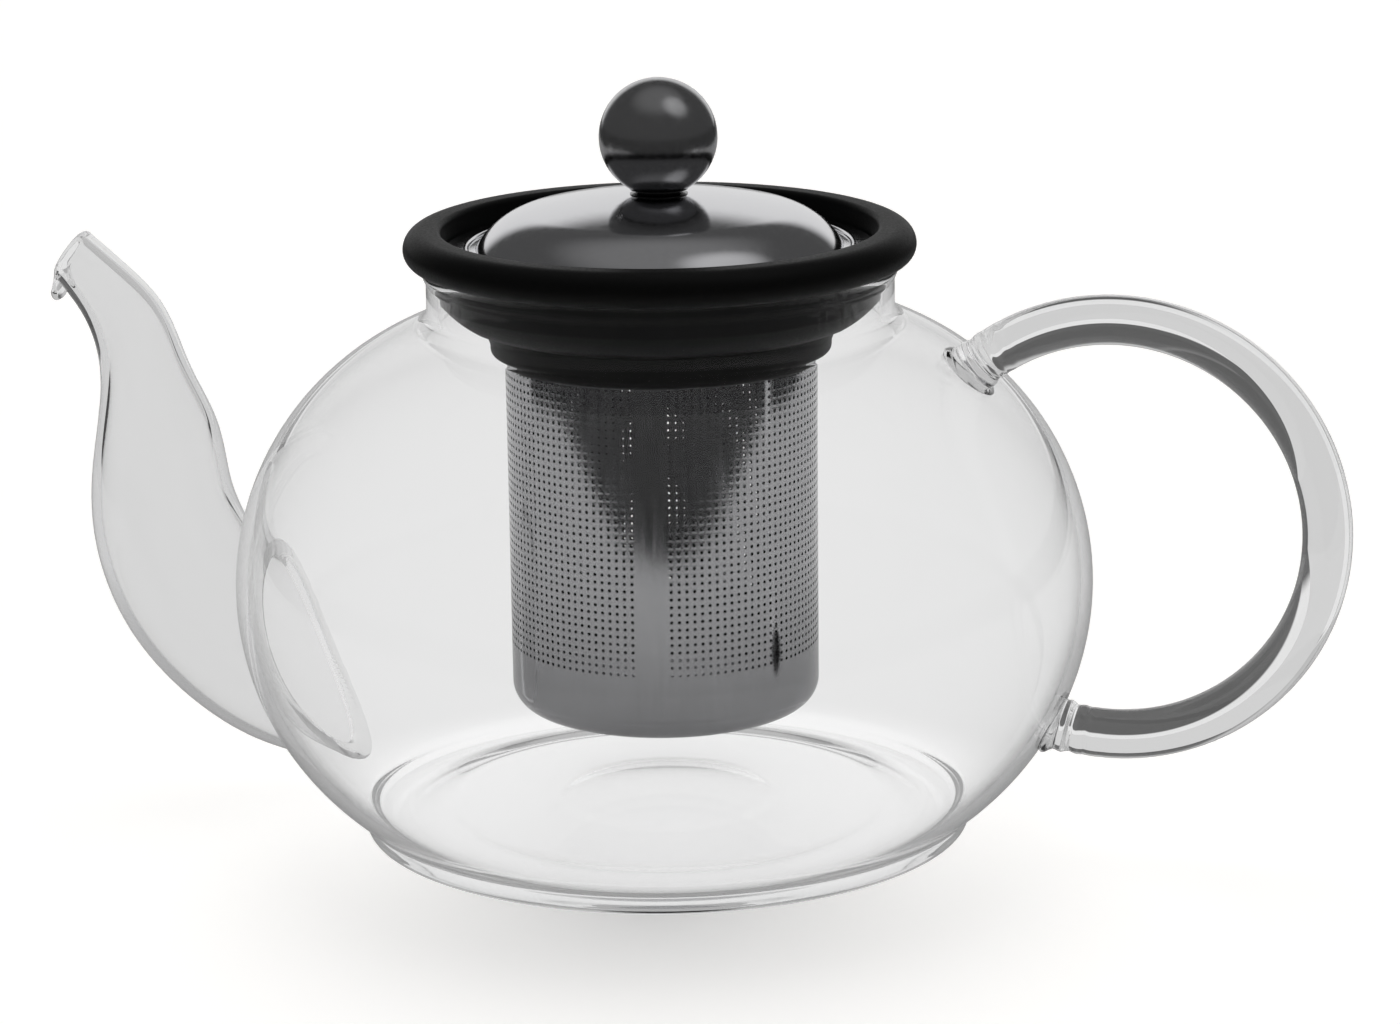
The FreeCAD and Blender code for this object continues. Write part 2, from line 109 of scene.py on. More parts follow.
# Fineness of the surfaces: steps round an axis, rows along a run, and the sides of a small hole
# with the first of them that faces the lower edge of its cell
WIDE_TURNS = 256
CUP_TURNS = 192
BALL_TURNS = 160
SMALL_TURNS = 96
SPOUT_TURNS = 128
SPOUT_ROWS = 150
ROW_CROWDING = 1.3
ROD_TURNS = 64
ROD_ROWS = 320
BEND_ROWS = 13
WAVE_ROWS = 16
HEAD_ROWS = 40
THREAD_ROWS = 140
HOLE_SIDES = 8
HOLE_FIRST = 5

# Places along the spout, from 0 to 1, with their number: where its root is looked for, and how far
# the cutter of its passage runs on from the root
ROOT_SEARCH = (0.02, 0.6, 600)
CUTTER_RUN = (0.02, 0.1, 5)

# Share of the weld's length over which the rod's swelling dies away
WELD_FALL = 0.45

# Angles in degrees: the rounding of the passage, and bends over which an edge stays sharp
CUTTER_BEND = 80.0
SHARP = 40.0
SHARP_BODY = 30.0
SHARP_SPOUT = 50.0

# Finishes: indices of the glass, where it counts as edge-on, low, high and foot (the first three
# for its painted edge shade), how often light is thrown back in it before it gets out, how much it
# soaks up, and scales of noise
THIN_INDEX = 1.2
ROD_INDEX = 1.47
EDGE_SHADE_FACING = (0.72, 1.0)
EDGE_SHADE_HEIGHTS = (45 * MM, 85 * MM)
FOOT_HEIGHTS = (5 * MM, 7 * MM)
FOOT_BOUNCES = 3.5
WALL_BOUNCES = 1.5
SOAK_DENSITY = 6.0
RIPPLE = 30.0
MOULD_GRAIN = 2600.0
NOISE_SPAN = (0.3, 0.7)

# Picture frame: its size, the focal length in its pixels, and the pixel that shows the aim point
PICTURE = (1400, 1024)
FOCAL_PIXELS = 4574.9
AIM_PIXEL = (663.3, 489.2)
SENSOR = 36.0
CLIP_START = 0.01

# Table and card
TABLE_DROP = -0.0002
TABLE_HALF = 3.0
CARD_LEFT = 0.06
CARD_RIGHT = 0.25

# Light levels, with white at 1: the table as it is seen, and through glass or in a mirror, with
# a painted pool of light under the pot through glass and painted shade near the pot in a mirror
TABLE_GLOW = 0.45
TABLE_DULL = (0.22, 0.22, 0.22)
TABLE_THROUGH = 0.7
TABLE_UNDER_PAINTED_LIGHT = 0.88
TABLE_MIRRORED = 0.55
TABLE_NEAR_PAINTED_SHADE = 0.3
TABLE_OUTSIDE = 0.15
PLAIN_LEVEL = 0.18
THROUGH_DARK = 0.12
THROUGH_TOP = 0.72
ROOM_LEVEL = 0.05
CEILING_LEVEL = 0.1
CEILING_TOP = 0.24
LAMP_MIRRORED = 0.45

# Where one level passes into another, on the table: (from, to), or the width of a soft edge
UNDER_POT_PAINTED_LIGHT = (0.05, 0.075)
NEAR_POT_PAINTED_SHADE = (0.1, 0.22)
SHADE_LEFT = (0.06, 0.07)
SHADE_BACK = (0.06, 0.05)
OVAL_SOFT = 0.03
FAR_SOFT = 0.06
RIGHT_SOFT = 0.03

# The same for directions, as parts of a unit vector or as elevations in degrees, and the places of
# the soft box and the lamp
SWEEP_REAR = (0.76, 0.9)
SWEEP_TOP = (36, 22)
CEILING_RUN = (45, 75)
HORIZON = (-3, 3)
BOX_EDGE = (65, 82)
BOX_PLACE = (0.48, 0.18, 0.86)
GAP_SIDES = (0.4, 0.22)
GAP_RIGHT = (0.2, 0.3)
GAP_TOP = (48, 36)
LAMP_ASIDE = 0.02


def length(name, value, description):
    """Length property in metres."""
    return FloatProperty(name=name, description=description, default=value, unit="LENGTH",
                         precision=5)


def angle(name, degrees, description):
    """Angle property."""
    return FloatProperty(name=name, description=description, default=math.radians(degrees),
                         subtype="ANGLE")


def colour(name, value, description):
    """Colour property."""
    return FloatVectorProperty(name=name, description=description, default=value, size=3,
                               min=0, max=1, subtype="COLOR")


class TeapotGlass(bpy.types.PropertyGroup):
    """Sizes of the blown body, the spout and the handle."""
    belly_radius: length("Belly radius", BODY_BOX[1][1], "Outer radius at the widest ring")
    belly_height: length("Belly height", 43.9 * MM, "Height of the widest ring")
    belly_curve: length("Belly curve", 49.0 * MM, "Radius of the belly's upright arc")
    wall: length("Wall", 2.0 * MM, "Thickness of the blown glass")
    neck_radius: length("Neck radius", 40.5 * MM, "Outer radius of the neck")
    neck_top: length("Neck top", BODY_BOX[1][2], "Height of the neck's rim")
    neck_bead: length("Neck bead", 0.6 * MM, "How far the neck's fire-polished rim swells out")
    shoulder_fillet: length("Shoulder fillet", 4.0 * MM, "Round between shoulder and neck")
    foot_radius: length("Foot radius", 53.5 * MM, "Outer radius of the foot")
    foot_round: length("Foot round", 1.5 * MM, "Round at the foot's edge")
    foot_face: length("Foot face", 5.0 * MM, "Width of the ring that it stands on")
    foot_crease: length("Foot crease", 2.8 * MM, "Round between the foot and the belly")
    base_step: length("Base step", 9.0 * MM, "Width of the soft step from base to foot ring")
    base_recess: length("Base recess", 1.5 * MM, "Rise of the base inside the foot ring")
    base_wall: length("Base wall", 3.0 * MM, "Thickness of the base")
    floor_round: length("Floor round", 10.0 * MM, "Inner round between base and belly")
    push_up_radius: length("Push-up radius", 20.0 * MM, "Radius of the dome in the base")
    push_up_rise: length("Push-up rise", 2.0 * MM, "Rise of the dome in the base")
    spout_wall: length("Spout wall", 1.8 * MM, "Thickness of the spout's glass")
    weld_flare: length("Weld flare", 1.6 * MM, "How far the spout's root spreads on the belly")
    weld_reach: length("Weld reach", 2.4 * MM, "How soon that spread dies away")
    lip_bead: length("Lip bead", 0.95 * MM, "Radius of the rolled mouth")
    drip_reach: length("Drip reach", 3.1 * MM, "How far the lip curls out")
    drip_back: length("Drip back", 1.4 * MM, "How far the curled lip turns back")
    drip_span: angle("Drip span", 60.0, "Part of the mouth that curls out")
    rod: length("Handle rod", 4.25 * MM, "Radius of the handle's rod")
    loop: length("Handle loop", 36.5 * MM, "Radius of the loop's middle line")
    loop_out: length("Loop out", 4.5 * MM, "Loop's centre beyond the belly")
    loop_up: length("Loop up", 13.1 * MM, "Loop's centre above the widest ring")
    weld_radius: length("Handle weld", 5.4 * MM, "Radius of the rod's flared ends")
    weld_length: length("Handle weld length", 5.0 * MM, "Length of the flared ends")


class TeapotInfuser(bpy.types.PropertyGroup):
    """Sizes of the collar, the sleeve and the base cup."""
    rim_radius: length("Rim radius", COLLAR_BOX[1][1], "Outer radius of the collar")
    rim_top: length("Rim top", COLLAR_BOX[1][2], "Height of the collar's crest")
    rim_low_round: length("Rim low round", 2.8 * MM, "Lower round of the rim")
    rim_top_round: length("Rim top round", 3.4 * MM, "Upper round of the rim")
    well_radius: length("Well radius", 37.7 * MM, "Radius of the lid's well")
    well_depth: length("Well depth", 4.4 * MM, "Depth of the lid's well")
    edge_round: length("Edge round", 1.0 * MM, "Round at the well's edge")
    collar_wall: length("Collar wall", 2.6 * MM, "Thickness of the moulding")
    plug_radius: length("Plug radius", 38.15 * MM, "Radius of the plug in the neck")
    plug_depth: length("Plug depth", 5.5 * MM, "Straight length of the plug")
    bowl_depth: length("Bowl depth", 6.0 * MM, "Depth of the bowl below the plug")
    bowl_curve: length("Bowl curve", 14.0 * MM, "Radius of the bowl's side")
    skirt_radius: length("Skirt radius", 29.95 * MM, "Outer radius of the skirt")
    skirt_round: length("Skirt round", 1.5 * MM, "Round at the skirt's edge")
    sleeve_radius: length("Sleeve radius", CUP_BOX[1][1], "Outer radius of the sleeve")
    sheet: length("Sheet", 0.5 * MM, "Thickness of the steel sheet")
    hole_pitch: length("Hole pitch", 1.34 * MM, "Distance between the holes")
    hole_radius: length("Hole radius", 0.31 * MM, "Radius of a hole")
    seam_width: length("Seam width", 5.2 * MM, "Plain strip over the sleeve's seam")
    seam_turn: angle("Seam turn", -81.2, "Place of the seam round the sleeve")
    cup_band: length("Cup band", 11.0 * MM, "Height of the cup's outer wall")
    cup_round: length("Cup round", 4.5 * MM, "Round at the cup's corner")


class TeapotLid(bpy.types.PropertyGroup):
    """Sizes of the lid, its knob and its fasteners."""
    sheet: length("Sheet", 0.7 * MM, "Thickness of the pressed steel")
    flange_radius: length("Flange radius", LID_BOX[1][1], "Outer radius of the flange")
    seat: length("Seat", LID_BOX[0][2], "Height of the flange's underside")
    dome_radius: length("Dome radius", 31.8 * MM, "Radius at the dome's foot")
    dome_rise: length("Dome rise", 9.3 * MM, "Height of the full crown above the flange")
    dome_slope: angle("Dome slope", 60.0, "Steepness at the dome's foot")
    shoulder: length("Shoulder", 14.0 * MM, "Radius of the round shoulder")
    bead_radius: length("Bead radius", 33.4 * MM, "Radius of the ring pressed in the flange")
    bead: length("Bead", 0.5 * MM, "Height of that ring")
    land_radius: length("Land radius", 6.0 * MM, "Radius of the flat under the knob")
    ball_radius: length("Ball radius", BALL_BOX[1][1], "Radius of the ball")
    screw_radius: length("Screw radius", 1.95 * MM, "Outer radius of the thread")
    thread_pitch: length("Thread pitch", 0.7 * MM, "Rise of the thread in one turn")
    thread_depth: length("Thread depth", 0.4 * MM, "Depth of the thread")


class TeapotFinish(bpy.types.PropertyGroup):
    """Colours of the finishes."""
    soak: colour("Glass soak", (0.05, 0.055, 0.055), "Tint that thick glass takes on")
    lid: colour("Lid", (0.74, 0.74, 0.76), "Polished steel of the lid")
    ball: colour("Ball", (0.5, 0.5, 0.51), "Polished steel of the ball")
    spacer: colour("Spacer", (0.12, 0.12, 0.12), "Darkened steel under the ball")
    sheet: colour("Sheet", (0.4, 0.4, 0.41), "Rolled steel of the sleeve and the cup")
    moulding: colour("Moulding", (0.006, 0.006, 0.006), "Black plastic of the collar")


class TeapotStage(bpy.types.PropertyGroup):
    """Camera, table and light."""
    distance: length("Distance", 0.8, "From the camera to the middle of the pot")
    aim_height: length("Aim height", 0.06, "Height of the point that the camera was set up on")
    elevation: angle("Elevation", 14.15, "Camera above the horizon")
    azimuth: angle("Azimuth", 15.0, "Camera round from the pot's side, towards the handle")
    roll: angle("Roll", -0.85, "Turn of the picture about the line of sight")
    table_colour: colour("Table", (0.80, 0.785, 0.765), "Table in the lamp's light")
    table_front: length("Table front", 0.23, "Front edge of the white table, in a mirror")
    table_side: length("Table side", 0.4, "Where the table ends on either side, in a mirror")
    table_right: length("Table right", 0.17, "Right edge of the white table, through glass")
    table_far: length("Table far", 0.7, "Back edge of the white table, through glass")
    card_back: length("Card back", 0.1, "How far the white card stands behind the handle")
    card_height: length("Card height", 0.065, "Height of the white card")
    lamp_elevation: angle("Lamp elevation", 66.0, "Height of the soft light as an angle")
    lamp_spread: angle("Lamp spread", 40.0, "Width of the soft light as an angle")
    lamp_power: FloatProperty(name="Lamp power", description="Strength of the soft light",
                              default=2.0)


def full_turn(steps):
    """Even steps round a circle."""
    return np.linspace(0, 2 * np.pi, steps, endpoint=False)


def arc(centre, radius, begin, end, steps=10):
    """Points on a circle, from one angle to another in degrees."""
    turn = np.radians(np.linspace(begin, end, steps + 1))
    return np.column_stack((centre[0] + radius * np.cos(turn), centre[1] + radius * np.sin(turn)))


def bearing(centre, target):
    """Angle in degrees of the line from a centre to a target."""
    return math.degrees(math.atan2(target[1] - centre[1], target[0] - centre[0]))


def unit(vectors):
    """Vectors divided by their lengths."""
    return vectors / np.linalg.norm(vectors, axis=-1, keepdims=True)


def round_axis(radius, turn, height):
    """Points (r cos t, r sin t, z) for a radius r, a turn t about Z and a height z."""
    place = np.broadcast_arrays(radius * np.cos(turn), radius * np.sin(turn), height)
    return np.stack(place, axis=-1)


def faces_of(*corners):
    """Faces from arrays of point numbers, one array to a corner."""
    return np.stack(corners, axis=-1).tolist()


def grid_faces(rows, columns, closed=False):
    """Quads of a grid of points whose columns, and rows where it is closed, meet themselves."""
    row, column = np.meshgrid(np.arange(rows if closed else rows - 1), np.arange(columns),
                              indexing="ij")
    next_row = (row + 1) % rows
    next_column = (column + 1) % columns
    corners = (row * columns + column, row * columns + next_column,
               next_row * columns + next_column, next_row * columns + column)
    return np.stack(corners, axis=-1).reshape(-1, 4)


def make_mesh(name, points, faces):
    """Closed mesh of points and faces, with doubles merged and faces turned outwards."""
    mesh = bpy.data.meshes.new(name)
    mesh.from_pydata(points.reshape(-1, 3).tolist(), [], faces)
    work = bmesh.new()
    work.from_mesh(mesh)
    bmesh.ops.remove_doubles(work, verts=work.verts, dist=1e-7)
    bmesh.ops.recalc_face_normals(work, faces=work.faces)
    work.to_mesh(mesh)
    work.free()
    return mesh


def skin(name, points, closed=False):
    """Mesh over a grid of points."""
    return make_mesh(name, points, grid_faces(*points.shape[:2], closed).tolist())


def capped(rows):
    """Rows of a tube, with each end drawn together in its middle."""
    ends = rows[[0, -1]].mean(axis=1, keepdims=True).repeat(rows.shape[1], axis=1)
    return np.concatenate((ends[:1], rows, ends[1:]))


def lathe(name, outline, turns, closed=False):
    """Mesh of an outline of (radius, height) points turned about Z.

    A point is (r cos t, r sin t, z) for each outline point (r, z) and each turn t. Points on the
    axis merge into one pole.
    """
    points = round_axis(outline[:, 0, None], full_turn(turns), outline[:, 1, None])
    return skin(name, points, closed)


def new_object(name, data):
    """Object of a mesh, a camera or a light, linked to the scene."""
    made = bpy.data.objects.new(name, data)
    bpy.context.scene.collection.objects.link(made)
    return made


def dress(mesh, nodes, body, slot, finish, sharp=SHARP):
    """Piece of a mesh that stands for CAD nodes, rides on their body and has a finish."""
    mesh.polygons.foreach_set("use_smooth", np.ones(len(mesh.polygons), dtype=bool))
    mesh.set_sharp_from_angle(angle=math.radians(sharp))
    mesh.materials.append(material(finish))
    piece = new_object(mesh.name, mesh)
    piece.visible_shadow = slot != "glass"
    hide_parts(*nodes)
    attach(piece, body)
    return piece


def spline(knots, values, places):
    """Natural cubic spline through values at the knots, read at the places."""
    step = np.diff(knots)
    inner = np.arange(1, len(knots) - 1)
    system = np.eye(len(knots))
    system[inner, inner - 1] = step[:-1]
    system[inner, inner] = 2 * (step[:-1] + step[1:])
    system[inner, inner + 1] = step[1:]
    right = np.zeros_like(values)
    right[1:-1] = 6 * np.diff(np.diff(values, axis=0) / step[:, None], axis=0)
    bend = np.linalg.solve(system, right)
    k = np.clip(np.searchsorted(knots, places, side="right") - 1, 0, len(knots) - 2)
    before = ((knots[k + 1] - places) / step[k])[..., None]
    after = 1 - before
    curve = (before ** 3 - before) * bend[k] + (after ** 3 - after) * bend[k + 1]
    return before * values[k] + after * values[k + 1] + curve * (step[k] ** 2)[..., None] / 6


def belly_centre(glass):
    """Centre of the belly's upright arc, as (radius, height)."""
    return np.array((glass.belly_radius - glass.belly_curve, glass.belly_height))


def beside_belly(glass, across, apart, side):
    """Centre of a round at a distance apart from the belly's centre, above it or below it."""
    return belly_centre(glass) + (across, side * math.sqrt(apart ** 2 - across ** 2))


def above_belly(glass, points):
    """Signed distance of points outside the belly's outer face, and that face's normals."""
    centre = belly_centre(glass)
    radius = np.hypot(points[..., 0], points[..., 1])
    across = radius - centre[0]
    up = points[..., 2] - centre[1]
    span = np.hypot(across, up)
    outward = across / span / radius
    normal = np.stack((points[..., 0] * outward, points[..., 1] * outward, up / span), axis=-1)
    return span - glass.belly_curve, normal


def along_face(points, centre, normal):
    """Directions from the spout's middle line out to points on it, laid flat on the belly."""
    outward = points - centre
    return unit(outward - (outward * normal).sum(axis=-1, keepdims=True) * normal)


def spout_tube(glass, inset, place, turn):
    """Point of the spout: its middle line at a place, plus an oval, set in from the outer glass.

    The oval is rise cos t + side sin t, where rise runs from the middle line to the upper edge.
    The edges and the width are splines over the length of the middle line.
    """
    stations = np.array([(*upper, *lower, half) for upper, lower, half in SPOUT_STATIONS]) * MM
    middle = (stations[:, 0:2] + stations[:, 2:4]) / 2
    knots = np.concatenate(([0.0], np.cumsum(np.hypot(*np.diff(middle, axis=0).T))))
    row = spline(knots, stations, place * knots[-1])
    upper, lower = (np.stack((-glass.belly_radius - row[..., k], np.zeros(row.shape[:-1]),
                              glass.belly_height + row[..., k + 1]), axis=-1) for k in (0, 2))
    centre = (upper + lower) / 2
    rise = (upper - lower) / 2
    reach = np.linalg.norm(rise, axis=-1, keepdims=True)
    rise = rise * (reach - inset) / reach
    side = np.array((0.0, 1.0, 0.0)) * (row[..., 4, None] - inset)
    return centre + rise * np.cos(turn)[..., None] + side * np.sin(turn)[..., None], centre


def spout_root(glass, inset, turn):
    """Place along the spout where each line of it leaves the belly, found on a fine grid."""
    place = np.linspace(*ROOT_SEARCH)
    grid_place, grid_turn = np.meshgrid(place, turn, indexing="ij")
    outside = above_belly(glass, spout_tube(glass, inset, grid_place, grid_turn)[0])[0] > 0
    last = len(place) - 1 - np.argmax(~outside[::-1], axis=0)
    return place[np.clip(last + 1, 0, len(place) - 1)]


def recess_mask(long, across):
    """One where a point lies inside a slot, falling to zero over its edge."""
    inside = np.minimum(RECESS_LENGTH / 2 - np.abs(long), RECESS_WIDTH / 2 - np.abs(across))
    return np.clip(inside / RECESS_EDGE, 0, 1)


class Wiring:
    """Short hand for a node tree: an input takes a value or another node's output."""

    def __init__(self, tree):
        tree.nodes.clear()
        self.tree = tree

    def add(self, kind, inputs=None, output=0, **settings):
        """Add a shader node, set it up, feed its inputs and give one of its outputs."""
        node = self.tree.nodes.new("ShaderNode" + kind)
        for key, value in settings.items():
            setattr(node, key, value)
        for key, value in (inputs or {}).items():
            if isinstance(value, bpy.types.NodeSocket):
                self.tree.links.new(value, node.inputs[key])
            else:
                node.inputs[key].default_value = value
        return node.outputs[output] if node.outputs else node

    def math(self, operation, first, *others):
        """Arithmetic on one value, or on two or more in turn."""
        total = first if others else self.add("Math", {0: first}, operation=operation)
        for value in others:
            total = self.add("Math", {0: total, 1: value}, operation=operation)
        return total

    def times(self, *values):
        """Product of values."""
        return self.math("MULTIPLY", *values)

    def largest(self, *values):
        """Largest of values."""
        return self.math("MAXIMUM", *values)

    def over(self, value, limit):
        """One where a value is over a limit, else nothing."""
        return self.math("GREATER_THAN", value, limit)

    def below(self, value, limit):
        """One where a value is below a limit, else nothing."""
        return self.math("LESS_THAN", value, limit)

    def dot(self, vector, direction):
        """How far a vector runs along a direction."""
        return self.add("VectorMath", {0: vector, 1: direction}, "Value",
                        operation="DOT_PRODUCT")

    def ramp(self, value, start, end, low=0.0, high=1.0):
        """Smooth step from low to high while the value goes from start to end."""
        spread = {"Value": value, "From Min": start, "From Max": end, "To Min": low,
                  "To Max": high}
        return self.add("MapRange", spread, interpolation_type="SMOOTHSTEP")

    def slope(self, height, degrees, low=0.0, high=1.0):
        """Smooth step over a direction's height, between two elevations in degrees."""
        return self.ramp(height, *np.sin(np.radians(degrees)), low, high)

    def blend(self, factor, first, second):
        """Mix of two values."""
        return self.add("Mix", {0: factor, 2: first, 3: second}, data_type="FLOAT")

    def tint(self, factor, first, second):
        """Mix of two colours."""
        return self.add("Mix", {0: factor, 6: (*first, 1), 7: (*second, 1)}, 2,
                        data_type="RGBA")

    def path(self, name):
        """Fact about the ray that is being shaded."""
        return self.add("LightPath", output=name)

    def noise(self, scale, stretch=(1, 1, 1), detail=3.0):
        """Noise on the piece's own coordinates."""
        place = self.add("TexCoord", output="Object")
        place = self.add("Mapping", {"Vector": place, "Scale": stretch})
        return self.add("TexNoise", {"Vector": place, "Scale": scale, "Detail": detail})

    def height(self):
        """Height on the piece."""
        return self.dot(self.add("TexCoord", output="Object"), (0, 0, 1))

    def bump(self, height, strength, distance):
        """Relief from a height."""
        inputs = {"Height": height, "Strength": strength, "Distance": distance}
        return self.add("Bump", inputs)

    def finish(self, surface, volume=None, kind="OutputMaterial"):
        """Output node."""
        self.add(kind, {"Surface": surface, **({"Volume": volume} if volume else {})})


def new_material(name):
    """New material and its wiring."""
    made = bpy.data.materials.new(name)
    made.use_nodes = True
    return made, Wiring(made.node_tree)


def material(name):
    """Finish of a name, made when it is first asked for."""
    if name not in bpy.data.materials:
        build, *values = FINISHES[name]
        build(new_material(name)[1], bpy.context.scene.teapot_finish, *values)
    return bpy.data.materials[name]


def thin_index(wire):
    """Index of the thin walls. Light thrown to and fro in them gets out, later in the foot."""
    bounces = wire.ramp(wire.height(), *FOOT_HEIGHTS, FOOT_BOUNCES, WALL_BOUNCES)
    return wire.blend(wire.over(wire.path("Glossy Depth"), bounces), THIN_INDEX, 1.0)


def rod_index(wire):
    """Index of the solid rod."""
    return ROD_INDEX


def clear_glass(wire, finish, index, clear, edge_shade_low, edge_shade_high):
    """Clear glass with slow ripples. Its colour holds painted shade: darker edge-on, and more so
    low on the pot, as though light from above washed out its upper edges.
    """
    ripple = wire.noise(RIPPLE, detail=1.0)
    facing = wire.add("LayerWeight", {"Blend": 0.5}, "Facing")
    # Painted shade: the base colour falls from the clear tone to the edge tone edge-on, and the
    # edge tone is darker low on the pot than high on it
    edge = wire.ramp(wire.height(), *EDGE_SHADE_HEIGHTS, edge_shade_low, edge_shade_high)
    tone = wire.blend(wire.ramp(facing, *EDGE_SHADE_FACING), clear, edge)
    surface = wire.add("BsdfPrincipled", {
        "Base Color": wire.add("CombineColor", {"Red": tone, "Green": tone, "Blue": tone}),
        "Roughness": wire.ramp(ripple, *NOISE_SPAN, low=0.0, high=0.008),
        "IOR": index(wire),
        "Transmission Weight": 1.0,
        "Normal": wire.bump(ripple, strength=0.03, distance=1.0 * MM),
    })
    soak = {"Color": (*finish.soak, 1), "Density": SOAK_DENSITY}
    wire.finish(surface, wire.add("VolumeAbsorption", soak))


def mottled(wire, grain, base, share):
    """Colour that darkens to a share of itself where the grain is low."""
    return wire.tint(grain, [share * value for value in base], base)


def stainless_steel(wire, finish, setting, rough, relief, scale, stretch=(1, 1, 1)):
    """Stainless steel whose tone, gloss and fine relief follow one noise."""
    grain = wire.noise(scale, stretch)
    wire.finish(wire.add("BsdfPrincipled", {
        "Base Color": mottled(wire, grain, getattr(finish, setting), 0.94),
        "Metallic": 1.0,
        "Roughness": wire.ramp(grain, *NOISE_SPAN, low=0.8 * rough, high=1.2 * rough),
        "Normal": wire.bump(grain, strength=relief, distance=0.2 * MM),
    }))


def satin_plastic(wire, finish):
    """Moulded black plastic with a fine satin grain."""
    grain = wire.noise(MOULD_GRAIN)
    wire.finish(wire.add("BsdfPrincipled", {
        "Base Color": mottled(wire, grain, finish.moulding, 0.5),
        "Roughness": wire.ramp(grain, *NOISE_SPAN, low=0.44, high=0.54),
        "IOR": 1.33,
        "Specular IOR Level": 0.3,
        "Normal": wire.bump(grain, strength=0.02, distance=0.1 * MM),
    }))


# Finishes. Glass: the index, the tone when clear, and the painted edge shade low and high on the
# pot.
# Steel: the colour's setting, roughness, relief, and the scale and stretch of the grain
FINISHES = {
    "blown_glass": (clear_glass, thin_index, 0.98, 0.25, 0.85),
    # The spout's glass is the body's glass with painted shade: a greyer clear tone, 0.9 against
    # 0.98
    "spout_glass": (clear_glass, thin_index, 0.9, 0.3, 0.8),
    "drawn_glass": (clear_glass, rod_index, 0.98, 0.45, 0.45),
    "pressed_steel": (stainless_steel, "lid", 0.12, 0.01, 900.0),
    "polished_ball": (stainless_steel, "ball", 0.2, 0.015, 900.0),
    "dark_steel": (stainless_steel, "spacer", 0.2, 0.02, 900.0),
    "rolled_sheet": (stainless_steel, "sheet", 0.1, 0.008, 1400.0, (1, 1, 0.04)),
    "black_moulding": (satin_plastic,),
}


